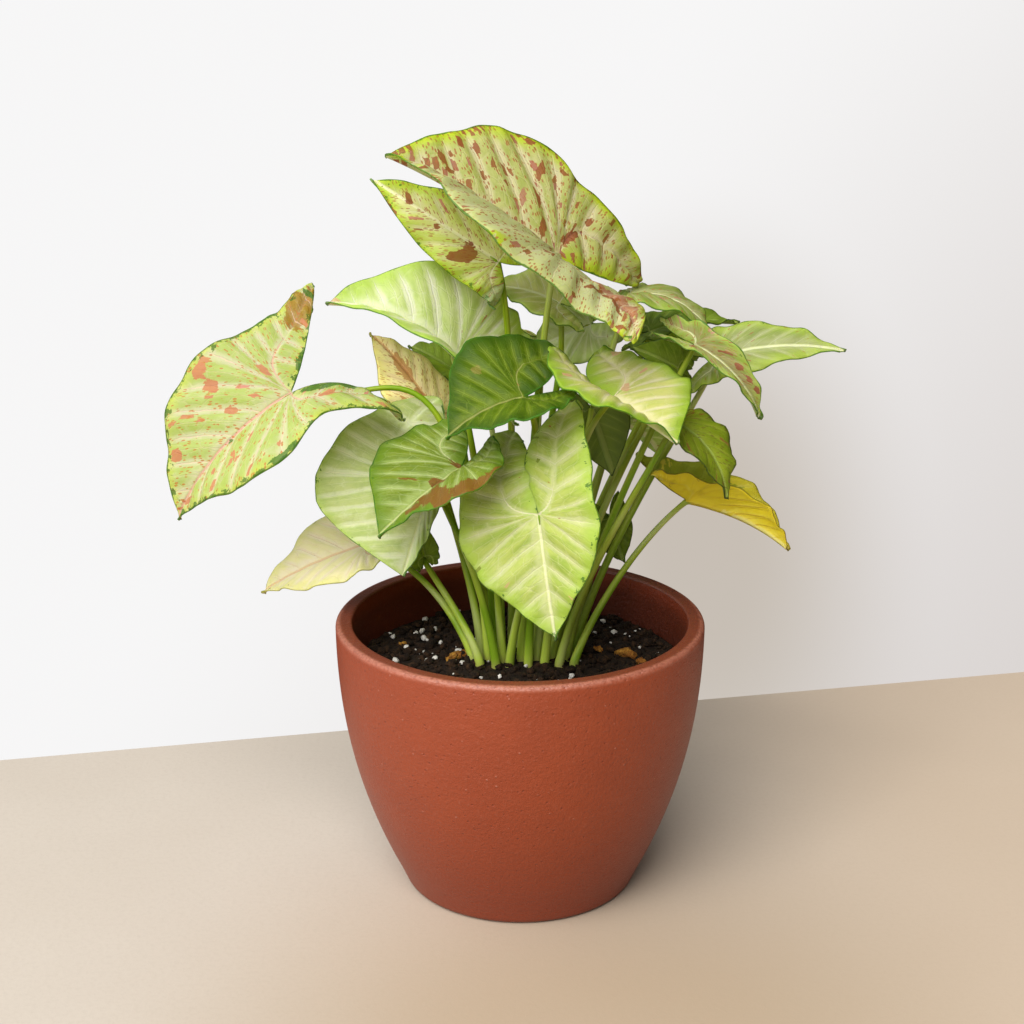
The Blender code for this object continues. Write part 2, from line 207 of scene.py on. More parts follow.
def raise_surface(shader, height, strength, distance):
    bump = {"Height": height, "Strength": strength, "Distance": distance}
    Signal(fit(height.tree, "Bump", bump)).into(shader.inputs["Normal"])


def fired_clay():
    """Mottled and faintly ringed clay with pits and pale flecks, a painted highlight on the rim
    corner, damp and painted shade inside, and painted shade towards the foot.
    """
    finish, tree, shader = new_finish("fired_clay", 0.5, Specular_IOR_Level=0.45)
    place = place_on(tree)
    height = place.parts()[2]
    away = place.vector("MULTIPLY", (1, 1, 0)).vector("LENGTH", output="Value")
    mottle = place.cloud(38, 5, 0.6)
    rings = place.cloud(70, 4, 0.65, (1, 1, 5))
    grain = place.cloud(620, 4, 0.7)
    pits = Signal(place.cells(300))
    grit = place.cells(230)
    lot = Signal(grit, "Color").parts("SeparateColor")[0]
    flecks = Signal(grit, "Distance").fade(0.14, 0.06) * lot.fade(0.45, 0.75)

    colour = mottle.fade(0.30, 0.75, 0.35, 0).mix(CLAY, CLAY_DARK)
    colour = rings.fade(0.50, 0.80, 0, 0.04).mix(colour, CLAY_PALE)
    colour = grain.fade(0.56, 0.74, 0, 0.20).mix(colour, CLAY_PALE)
    colour = pits.fade(0.20, 0.08, 0, 0.55).mix(colour, CLAY_DARK)
    colour = (flecks * 0.45).mix(colour, CLAY_PALE)

    rim_face = height.fade(POT_HEIGHT - 0.0016, POT_HEIGHT - 0.0004)
    colour = (rim_face * grain.fade(0.30, 0.62, 0.80, 0.55)).mix(colour, CLAY_DUSK)
    # Painted highlight: the outer corner of the rim is lightened in a broken pale line that stands
    # in for its gloss.
    edge = height.fade(POT_HEIGHT - 0.0030, POT_HEIGHT - 0.0006)
    painted_rim_highlight = edge * away.fade(RIM_RADIUS - 0.0030, RIM_RADIUS - 0.0012)
    colour = (painted_rim_highlight * grain.fade(0.30, 0.62, 0.25, 0.80)).mix(colour, CLAY_PALE)
    # Painted shade: the clay darkens towards the foot.
    colour = height.fade(0.075, 0.0, 0, 0.95).mix(colour, CLAY_DARK)

    # Damp and painted shade: the inner wall below the rim darkens to near black, partly as damp
    # clay and partly standing in for the leaves' shadow.
    inside = away.fade(RIM_RADIUS - 0.0052, RIM_RADIUS - 0.0068)
    inside = inside * height.fade(POT_HEIGHT - 0.001, POT_HEIGHT - 0.010)
    damp_and_shade = inside * height.fade(0.090, 0.116, 0.95, 0.55) * height.fade(0.085, 0.095)
    damp_and_shade.mix(colour, CLAY_DAMP_AND_SHADE).into(shader.inputs["Base Color"])
    smoother = height.fade(POT_HEIGHT - 0.004, POT_HEIGHT - 0.001, 0.46, 0.30)
    smoother.into(shader.inputs["Roughness"])
    relief = grain + rings * 0.25 + pits.fade(0.0, 0.22, 0, 0.5) + flecks * 0.35
    raise_surface(shader, relief, 0.75, 0.0007)
    return finish


top = POT_HEIGHT
profile = [(0, POT_FLOOR), (inner_radius(POT_FLOOR) - FLOOR_CORNER, POT_FLOOR)]
profile += [(inner_radius(z), z) for z in levels(INSIDE_FROM, top - 0.006, 18)]
profile += rounded(RIM_RADIUS - WALL + LIP_ROUND, top - LIP_ROUND, LIP_ROUND, 180, 90, 5)
profile += rounded(RIM_RADIUS - RIM_ROUND, top - RIM_ROUND, RIM_ROUND, 90, 0, 7)
profile += [(outer_radius(z), z) for z in levels(top - 0.008, 0.009, 24)]
profile += rounded(outer_radius(FOOT_ROUND) - FOOT_ROUND, FOOT_ROUND, FOOT_ROUND, -15, -90, 5)
profile += [(FOOT_RADIUS * 0.5, 0), (0, 0)]
pot = turned("clay_pot", profile, TURNS)
pot.data.materials.append(fired_clay())
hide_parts("pot")
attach(pot, "root")


# ---------------------------------------------------------------- the soil
# Dark peaty potting mix, filled to a finger's width below the rim and pressed by hand, so its top
# is lumpy and a little higher round the stalks. Crumbs of peat, white grains of perlite and a few
# bits of orange bark lie on it, held by nothing but their weight.
SOIL_EDGE = 0.0995
SOIL_CROWN = 0.0020
SOIL_SIDE_GAP = 0.00045
SOIL_FLOOR = 0.0083
SOIL_SIDE_TOP = 0.092
SOIL_TURNS = 150
LUMPS = ((0.0012, 160), (0.0007, 420))
LUMPS_ABOVE = 0.0985
CALM_EDGE = 0.003
CRUMBS = 1500
PERLITE = 115
BARK = [(-0.0275, 0.0020, 1.5), (-0.0245, 0.0040, 1.3), (-0.0300, -0.0020, 1.2),
        (0.0460, 0.0070, 1.6), (0.0490, 0.0050, 1.2), (0.0345, 0.0095, 1.0),
        (0.0530, -0.0030, 0.9), (-0.0520, 0.0180, 0.8), (-0.034, -0.030, 0.8),
        (0.020, -0.052, 0.9), (-0.012, 0.040, 1.2), (0.030, 0.044, 1.0)]
BARK_SIZE = (0.0026, 0.0019, 0.0013)
BARK_RAISED = 0.0012
BARK_TORN = 0.0015


def soil_height(x, y):
    away = min(1.0, sqrt(x * x + y * y) / inner_radius(SOIL_EDGE))
    return SOIL_EDGE + SOIL_CROWN * (1.0 - away * away)


def earth(name, dark, pale, share):
    """Loose stuff in two shades, with dust of the paler one on it."""
    finish, tree, shader = new_finish(name, 0.92, Specular_IOR_Level=0.25)
    place = place_on(tree)
    lumps = place.cloud(260, 4, 0.7)
    dust = place.cloud(1400, 2, 0.6)
    colour = lumps.fade(0.42, 0.70, 0, share).mix(dark, pale)
    dust.fade(0.62, 0.78, 0, share).mix(colour, pale).into(shader.inputs["Base Color"])
    raise_surface(shader, lumps + dust * 0.5, 1.0, 0.0018)
    return finish


def scattered(name, number, small, large, seed, raised, flatness):
    """Loose grains, each a squashed and turned ball of a few faces, lying on the soil."""
    draw = random.Random(seed)
    heap = bmesh.new()
    for _ in range(number):
        away = (inner_radius(SOIL_EDGE) - 0.0025) * sqrt(draw.random())
        turn = draw.uniform(0, 2 * pi)
        x, y = away * cos(turn), away * sin(turn)
        size = small + (large - small) * draw.random() ** 2
        flat = draw.uniform(flatness, 1.0)
        lie = Matrix.Translation((x, y, soil_height(x, y) + raised * size))
        lie = lie @ Matrix.Rotation(draw.uniform(0, 2 * pi), 4, "Z")
        lie = lie @ Matrix.Rotation(draw.uniform(-0.6, 0.6), 4, "X")
        lie = lie @ Matrix.Diagonal((size * draw.uniform(0.7, 1.3), size, size * flat, 1))
        ball = bmesh.ops.create_icosphere(heap, subdivisions=1, radius=1.0, matrix=lie)
        for vert in ball["verts"]:
            vert.co += Vector([draw.uniform(-0.22, 0.22) * size for _ in range(3)])
    bmesh.ops.recalc_face_normals(heap, faces=heap.faces)
    return placed(name, heap)


edge = inner_radius(SOIL_EDGE) - SOIL_SIDE_GAP
profile = [(x, soil_height(x, 0)) for x in levels(0, edge, 44)]
profile += [(inner_radius(z) - SOIL_SIDE_GAP, z) for z in levels(SOIL_SIDE_TOP, INSIDE_FROM, 8)]
profile += [(inner_radius(POT_FLOOR) - FLOOR_CORNER - SOIL_SIDE_GAP, SOIL_FLOOR), (0, SOIL_FLOOR)]
soil = turned("soil_bed", profile, SOIL_TURNS)
for vert in soil.data.vertices:
    x, y, z = vert.co
    if z > LUMPS_ABOVE:
        calm = min(1.0, (edge - sqrt(x * x + y * y)) / CALM_EDGE)
        vert.co.z += calm * sum(high * noise.noise(vert.co * close) for high, close in LUMPS)
soil.data.materials.append(earth("wet_peat", (0.011, 0.0055, 0.0025), (0.046, 0.022, 0.009), 0.8))
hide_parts("soil")

crumbs = scattered("peat_crumbs", CRUMBS, small=0.0006, large=0.0026, seed=11, raised=0.45,
                   flatness=0.45)
peat = earth("peat_crumb", (0.011, 0.0055, 0.0024), (0.062, 0.029, 0.011), 0.8)
crumbs.data.materials.append(peat)
perlite = scattered("perlite_grains", PERLITE, small=0.0005, large=0.0019, seed=23, raised=0.85,
                    flatness=0.5)
perlite.data.materials.append(earth("perlite", (0.78, 0.75, 0.69), (0.50, 0.46, 0.38), 0.6))

chips = bmesh.new()
draw = random.Random(5)
noise.seed_set(5)
for x, y, size in BARK:
    lie = Matrix.Translation((x, y, soil_height(x, y) + BARK_RAISED))
    lie = lie @ Matrix.Rotation(draw.uniform(0, 6), 4, "Z")
    lie = lie @ Matrix.Rotation(draw.uniform(-0.5, 0.5), 4, "X")
    lie = lie @ Matrix.Diagonal((*(size * side for side in BARK_SIZE), 1))
    chip = bmesh.ops.create_icosphere(chips, subdivisions=2, radius=1.0, matrix=lie)
    for vert in chip["verts"]:
        vert.co += BARK_TORN * noise.noise_vector(vert.co * 620)
bark = placed("bark_chips", chips)
bark.data.materials.append(earth("orange_bark", (0.24, 0.085, 0.012), (0.58, 0.30, 0.045), 0.9))
for piece in (soil, crumbs, perlite, bark):
    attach(piece, "root")


# ---------------------------------------------------------------- the leaf stalks
# Each leaf has its own round green stalk, fleshy and a little streaked, that rises from the clump
# in the soil, thins towards its leaf and turns to run on under the blade as the midrib. Its foot
# is paler, and brown where it comes out of the soil.
SEAT_GAP = 0.0005
BLADE_THICKNESS = 0.0008
STALK_TAPER = 0.64
STALK_ENDS = (0.76, 0.60, 0.30)
RUN_UNDER = ((0.0016, -0.0011), (0.0045, -0.0007))
FREE_RISE = 0.0015
SUNK = (0.0115, 0.004)
STALK_SPANS = 26
STALK_SIDES = 12


def bezier(points, t):
    s = 1.0 - t
    a, b, c, d = points
    return a * s ** 3 + b * (3 * s * s * t) + c * (3 * s * t * t) + d * t ** 3


def stalk_way(leaf):
    """The places that the stalk passes, from inside the soil up to the blade."""
    x, y = leaf.root
    ground = Vector((x, y, soil_height(x, y) + FREE_RISE))
    base = leaf.base
    below = (base - blade_place(leaf, 1, 0.0, 0.0, 0.001)).normalized()
    behind = (blade_place(leaf, 1, 0.0, -0.001) - base).normalized()
    away = below * cos(radians(leaf.lean)) + behind * sin(radians(leaf.lean))
    if leaf.elbow:
        away = (Vector(leaf.elbow) - base).normalized()
    slant = sqrt(max(0.0, 1.0 - away.dot(below) ** 2))
    end = base + below * (BLADE_THICKNESS / 2 + SEAT_GAP + leaf.stout * STALK_TAPER * slant)
    last = Vector(leaf.elbow) if leaf.elbow else end + away * leaf.reach
    aim = last if leaf.elbow else end
    rising = ((aim - ground).normalized() + Vector((0.0, 0.0, leaf.upright))).normalized()
    handles = (ground, ground + rising * leaf.lift, last, end)
    way = [ground - Vector((0, 0, depth)) for depth in SUNK]
    way += [bezier(handles, i / STALK_SPANS) for i in range(STALK_SPANS + 1)]
    return way + [blade_place(leaf, 1, 0.0, along, lift) for along, lift in RUN_UNDER]


def stalk_stoutness(leaf, way):
    """Its radius at each place: thick at the foot, thin at the blade."""
    steps = len(way) - len(STALK_ENDS)
    sizes = []
    for i in range(len(way)):
        rise = min(1.0, max(0, i - 1) / steps)
        size = leaf.stout * (1.0 - (1.0 - STALK_TAPER) * rise)
        sizes.append(size * (1.0 + 0.16 * exp(-(rise / 0.10) ** 2)))
    sizes[-len(STALK_ENDS):] = [leaf.stout * share for share in STALK_ENDS]
    return sizes


def stalk_piece(leaf):
    """A ring at the foot, drawn on from place to place and closed at both ends."""
    way = stalk_way(leaf)
    sizes = stalk_stoutness(leaf, way)
    tube = bmesh.new()
    run = tube.verts.layers.float_vector.new("run")
    ring = bmesh.ops.create_circle(tube, segments=STALK_SIDES, radius=1.0)["verts"]
    edges = list({e for v in ring for e in v.link_edges})
    here = Matrix.Identity(4)
    facing = Vector((0, 0, 1))
    turn = Matrix.Identity(3)
    for i, place in enumerate(way):
        ahead = (way[min(i + 1, len(way) - 1)] - way[max(i - 1, 0)]).normalized()
        turn = facing.rotation_difference(ahead).to_matrix() @ turn
        facing = ahead
        there = Matrix.Translation(place) @ (turn @ Matrix.Diagonal((sizes[i],) * 3)).to_4x4()
        if i:
            grown = bmesh.ops.extrude_edge_only(tube, edges=edges)["geom"]
            ring = [g for g in grown if isinstance(g, bmesh.types.BMVert)]
            edges = [g for g in grown if isinstance(g, bmesh.types.BMEdge)]
        bmesh.ops.transform(tube, matrix=there @ here.inverted(), verts=ring)
        here = there
        for vert in ring:
            around = there.inverted() @ vert.co
            vert[run] = (around.x, around.y, leaf.root[0] * 300 + 3.0 * i / len(way))
    bmesh.ops.holes_fill(tube, edges=[e for e in tube.edges if e.is_boundary])
    bmesh.ops.recalc_face_normals(tube, faces=tube.faces)
    return placed("leafstalk_" + leaf.name, tube)


def attribute(tree, name):
    """A place that was written on the mesh while it was made."""
    return Signal(fit(tree, "Attribute", attribute_name=name), "Vector")


def stalk_skin():
    """Streaked green, each stalk with its own tone, pale towards the foot."""
    finish, tree, shader = new_finish(
        "stalk_skin", 0.40, Specular_IOR_Level=0.2, Subsurface_Weight=0.2,
        Subsurface_Radius=(0.002, 0.003, 0.0006), Subsurface_Scale=1.0)
    height = place_on(tree).parts()[2]
    run = attribute(tree, "run")
    streaks = run.cloud(2.2, 3, 0.6, (1, 1, 0.25))
    patches = run.cloud(0.8, 2, 0.5)
    tone = run.cloud(0.9, 1, 0.5, (0.15, 0.15, 1))
    colour = streaks.fade(0.30, 0.70).mix((0.17, 0.25, 0.003), (0.32, 0.42, 0.012))
    colour = patches.fade(0.40, 0.70, 0, 0.8).mix(colour, (0.38, 0.44, 0.06))
    colour = height.fade(0.160, 0.105, 0, 0.65).mix(colour, (0.52, 0.66, 0.09))
    colour = tone.fade(0.50, 0.64, 0, 0.75).mix(colour, (0.46, 0.52, 0.17))
    colour = tone.fade(0.50, 0.36, 0, 0.80).mix(colour, (0.15, 0.29, 0.004))
    colour = height.fade(0.106, 0.100, 0, 0.6).mix(colour, (0.30, 0.22, 0.10))
    colour.into(shader.inputs["Base Color"])
    raise_surface(shader, streaks, 0.15, 0.0003)
    return finish


STALK_SKIN = stalk_skin()


# ---------------------------------------------------------------- how a leaf is made
# A leaf blade is one thin soft sheet in an arrowhead shape: two halves that share a midrib and
# carry on behind the stalk as two lobes. Side veins run from the midrib to the margin, and the
# blade puffs up between them. The colour follows the veins, in flecks, patches and speckles.
HEEL_OUT, HEEL_BACK, HEEL_AHEAD = 0.55, 1.02, 0.06
WAIST_BACK, CHEEK_AHEAD, POINT_AHEAD = 0.35, 0.32, 0.74
PINCH_PLACE, PINCH_SPREAD = -0.3, 0.2
WAVES = 2.5
VEINS = 5
SHEET = 0.0005
SHEET_SHARE, RIB_SHARE = 0.28, 0.9
RIB_WIDTH, LOBE_RIB_WIDTH = 0.0009, 0.0007
GROOVE_DEPTH, GROOVE_WIDTH = 0.0004, 0.0012
PUFF_REACH = 0.004
UNEVEN, UNEVEN_REACH, RIPPLE = 0.0007, 0.006, 0.0011
ROW, COLUMN = 0.0024, 0.0016

# What a leaf has where nothing else is said: its lengths in millimetres, its angles in degrees.
# Most are pairs, for the half at the left of the midrib and the one at its right.
LEAF_HABIT = dict(width=(20, 20), lobe=(22, 22), splay=(30, 30), fold=(20, 20), curl=(-12, -12),
                  hang=(15, 15), droop=30, shoulder=0.18, sharp=0.38, waist=(0.0, 0.0),
                  bulge=(0.10, 0.10), blunt=(0.10, 0.10), wave=1.0, puff=1.0, lift=50, reach=30,
                  stout=1.8, upright=1.0, lean=35, elbow=(), marks={})
LENGTHS = ("base", "tip", "root", "elbow", "width", "lobe", "wave", "puff", "lift", "reach",
           "stout")


def half(pair, side):
    return pair[0] if side < 0 else pair[1]


def drawn(name, **values):
    """A leaf with its own values over the habit, in metres, and the frame that it is bent in."""
    leaf = SimpleNamespace(name=name, **{**LEAF_HABIT, **values})
    for key in LENGTHS:
        size = getattr(leaf, key)
        metres = tuple(s / 1000 for s in size) if isinstance(size, tuple) else size / 1000
        setattr(leaf, key, metres)
    leaf.base, tip = Vector(leaf.base), Vector(leaf.tip)
    bend = radians(leaf.droop) / 2
    leaf.length = (tip - leaf.base).length * bend / sin(bend)
    leaf.ahead = (tip - leaf.base).normalized()
    compass, height = radians(leaf.face[0]), radians(leaf.face[1])
    looks = Vector((sin(compass) * cos(height), -cos(compass) * cos(height), sin(height)))
    leaf.up = (looks - leaf.ahead * looks.dot(leaf.ahead)).normalized()
    leaf.right = leaf.ahead.cross(leaf.up)
    return leaf


def flat_place(leaf, side, u, v):
    """Across and along on the flat half, and how wide the half is there."""
    length = leaf.length
    width, lobe = half(leaf.width, side), half(leaf.lobe, side)
    splay = radians(half(leaf.splay, side))
    lobe_x, lobe_y = lobe * sin(splay), -lobe * cos(splay)
    widest = Vector((width, leaf.shoulder * length))
    round_end = Vector((0.0, 0.0))
    if v < 0:
        end = max(0.0, (-v - 0.5) / 0.5) ** 2
        v *= 1.0 - half(leaf.blunt, side)
        heel_x = lobe_x + (width - lobe_x) * HEEL_OUT
        heel = Vector((heel_x, HEEL_BACK * lobe_y + HEEL_AHEAD * length))
        waist = Vector((width, WAIST_BACK * lobe_y))
        margin = bezier((Vector((lobe_x, lobe_y)), heel, waist, widest), 1.0 + v)
        full = 4 * -v * (1.0 + v) * lobe * half(leaf.bulge, side)
        inner = Vector((lobe_x * -v - cos(splay) * full, lobe_y * -v - sin(splay) * full))
        to_end = Vector((lobe_x, lobe_y)) - (inner + margin) / 2
        round_end = to_end * (end * sqrt(4 * u * (1.0 - u)))
    else:
        cheek = Vector((width, (leaf.shoulder + CHEEK_AHEAD) * length))
        point = Vector((leaf.sharp * width, POINT_AHEAD * length))
        margin = bezier((widest, cheek, point, Vector((0.0, length))), v)
        inner = Vector((0.0, v * length))
    margin.x *= 1.0 - half(leaf.waist, side) * exp(-((v - PINCH_PLACE) / PINCH_SPREAD) ** 2)
    return inner.lerp(margin, u) + round_end, (margin - inner).length


def blade_place(leaf, side, across, along, lift=0.0, rim=0.0, v=0.0):
    """A place on the folded and bent blade."""
    length, droop, lobe = leaf.length, radians(leaf.droop), half(leaf.lobe, side)
    hang = radians(half(leaf.hang, side)) or 0.001
    fold = radians(half(leaf.fold, side))
    curl = radians(half(leaf.curl, side)) / half(leaf.width, side)
    x = (sin(fold + curl * across) - sin(fold)) / curl
    rise = (cos(fold) - cos(fold + curl * across)) / curl + lift
    rise += leaf.wave * rim * rim * sin(2 * pi * (WAVES * v + 0.25 * side))
    bend, reach = (droop, length) if along >= 0 else (hang, lobe)
    turn = -bend * along / reach
    y = -reach / bend * sin(turn) - rise * sin(turn)
    z = -reach / bend * (1.0 - cos(turn)) + rise * cos(turn)
    level = droop / 2
    y, z = y * cos(level) - z * sin(level), y * sin(level) + z * cos(level)
    return leaf.base + leaf.right * (x * side) + leaf.ahead * y + leaf.up * z


def vein_place(u, v, span, across, width):
    """How many side veins lie behind this place, and how far off the nearest rib is."""
    rib = 0.0 if v >= 0 else 0.5 * (1.0 - exp(v / 0.12))
    if v >= 0:
        slant = 0.30 * (across / width) ** 1.2
    else:
        slant = 0.30 * abs(u - rib) * min(1.0, span / width)
    if abs(v) > slant:
        order = VEINS * (abs(v) - slant)
    else:
        order = abs(v) / max(slant, 0.000001) - 1.0
    if v >= 0:
        return order, across
    return -2.0 - order, (u - rib) * span * (1.0 + 0.9 * min(1.0, -v / 0.3))


def mark_at(spots, x, y):
    """1 in the middle of a listed patch, 0.5 at its edge, 0 well outside it."""
    most = 0.0
    for spot_x, spot_y, wide, long, turn in spots:
        dx, dy = x - spot_x, y - spot_y
        c, s = cos(radians(turn)), sin(radians(turn))
        off = sqrt(((dx * c + dy * s) / wide) ** 2 + ((dy * c - dx * s) / long) ** 2)
        most = max(most, 1.0 - 0.5 * off)
    return most


def blade_piece(leaf, seed):
    """Two fine grids, one for each half, bent to the leaf's form and joined along the midrib."""
    rows = max(30, min(84, int(2 * (leaf.length + max(leaf.lobe)) / ROW)))
    columns = max(12, min(22, int(max(leaf.width) / COLUMN)))
    sheet = bmesh.new()
    flat = sheet.verts.layers.float_vector.new("flat")
    vein = sheet.verts.layers.float_vector.new("vein")
    marks = sheet.verts.layers.float_color.new("marks")
    weight = sheet.verts.layers.deform.new()
    for side in (-1, 1):
        made = bmesh.ops.create_grid(sheet, x_segments=columns, y_segments=rows, size=0.5)
        grid = made["verts"]
        if side < 0:
            bmesh.ops.reverse_faces(sheet, faces=list({f for v in grid for f in v.link_faces}))
        for vert in grid:
            u = (vert.co.x + 0.5) ** 1.3
            v = 2.0 * vert.co.y
            (across, along), span = flat_place(leaf, side, u, v)
            veins, beside = vein_place(u, v, span, across, half(leaf.width, side))
            rib = abs(beside)
            brink = (1.0 - u) * span
            if v < -0.001:
                brink = min(brink, u * span, (1.0 + v) * half(leaf.lobe, side))
            grown = min(1.0, brink / PUFF_REACH)
            between = sin(pi * veins) ** 2 * min(1.0, rib / PUFF_REACH) * grown
            uneven = noise.noise(Vector((across * side * 45, along * 45, seed * 3.7)))
            ripple = noise.noise(Vector((v * 9, side * 5.0, seed * 1.9)))
            lift = leaf.puff * between - GROOVE_DEPTH * exp(-(rib / GROOVE_WIDTH) ** 2)
            lift += UNEVEN * uneven * min(1.0, rib / UNEVEN_REACH) + RIPPLE * ripple * u ** 3
            vert.co = blade_place(leaf, side, across, along, lift, u, v)
            vert[flat] = (across * side, along, seed)
            vert[vein] = (veins, beside, brink)
            vert[marks] = [mark_at(leaf.marks.get(kind, ()), across * side * 1000, along * 1000)
                           for kind in ("rust", "tan", "dark", "pink")]
            wide = RIB_WIDTH if v >= 0 else LOBE_RIB_WIDTH
            ridge = RIB_SHARE * exp(-(rib / wide) ** 2) * (1.0 - 0.75 * abs(v))
            vert[weight][0] = min(1.0, SHEET_SHARE + ridge)
    bmesh.ops.remove_doubles(sheet, verts=sheet.verts, dist=0.00002)
    piece = placed("leafblade_" + leaf.name, sheet)
    piece.vertex_groups.new(name="stoutness")
    wall = piece.modifiers.new("Thickness", "SOLIDIFY")
    wall.thickness = SHEET / SHEET_SHARE
    wall.offset = -1.0
    wall.vertex_group = "stoutness"
    wall.material_offset = 1
    return piece


def new_group(name, inputs, outputs):
    """A node group with its named sockets: a colour where the name says so, else a number."""
    tree = bpy.data.node_groups.new(name, "ShaderNodeTree")
    for way, names in (("INPUT", inputs), ("OUTPUT", outputs)):
        for socket in names:
            kind = "NodeSocketColor" if "Colour" in socket else "NodeSocketFloat"
            tree.interface.new_socket(socket, in_out=way, socket_type=kind)
    source = tree.nodes.new("NodeGroupInput")
    asked = {socket: Signal(source, socket) for socket in inputs}
    return tree, asked, tree.nodes.new("NodeGroupOutput").inputs


MASKS = ("Rib", "Vein", "Zone", "Net")


def leaf_veins():
    """Masks that follow the veins: the ribs, the side veins, the zone round them, the fine net."""
    tree, asked, given = new_group("leaf veins", ("Rib Width", "Vein Width"), MASKS)
    flat = attribute(tree, "flat")
    veins, beside, brink = attribute(tree, "vein").parts()
    order = veins + flat.cloud(160, 3, 0.6).scaled(0.16, -0.08)
    off = order.math("PINGPONG", 0.5)
    wide = asked["Vein Width"] * brink.fade(0.0, 0.010, 0.35, 1.0)
    side = off.fade(wide * 0.35, wide, 1, 0) * brink.fade(0.0006, 0.005)
    small = (order + 0.5).math("PINGPONG", 0.5).fade(0.0, wide * 0.7, 0.55, 0)
    side.math("MAXIMUM", small * brink.fade(0.002, 0.008)).into(given["Vein"])

    across, along, _ = flat.parts()
    beside = abs(beside) + along.fade(0.0, -0.012, 0, 0.0007)
    beside.fade(asked["Rib Width"] * 0.45, asked["Rib Width"], 1, 0).into(given["Rib"])
    near = off.fade(0.02, 0.30, 1, 0)
    near.math("MAXIMUM", beside.fade(0.0005, 0.0060, 1, 0)).into(given["Zone"])
    loops = Signal(fit(tree, "CombineXYZ", {0: order * 2.6, 1: abs(across) * 150}))
    net = loops.cells(1.0, 0.9, feature="DISTANCE_TO_EDGE", voronoi_dimensions="2D")
    Signal(net).fade(0.015, 0.06, 1, 0).into(given["Net"])
    return tree


# A leaf's colours and how much of each it has, where nothing else is said.
LEAF_LOOK = dict(
    blade=(0.44, 0.58, 0.12), shade=(0.30, 0.47, 0.07), zone=(0.62, 0.70, 0.30),
    vein=(0.74, 0.77, 0.44), rib=(0.74, 0.75, 0.42), margin=(0.30, 0.48, 0.05),
    edge=(0.035, 0.12, 0.010), dot=(0.30, 0.09, 0.03), rust=(0.30, 0.085, 0.030),
    tan=(0.50, 0.30, 0.10), dark=(0.06, 0.18, 0.02), pink=(0.44, 0.15, 0.11), zone_share=0.7,
    vein_share=0.45, blot_share=0.001, dot_share=0.004, speck_share=0.0, shade_share=0.8,
    margin_share=0.5, margin_reach=0.0060, edge_width=0.0007)


def socket_of(key, value):
    """The group's socket for a value of the look: blade is Blade Colour, dot_share Dot Share."""
    name = key.replace("_", " ").title()
    return name + " Colour" if isinstance(value, tuple) else name


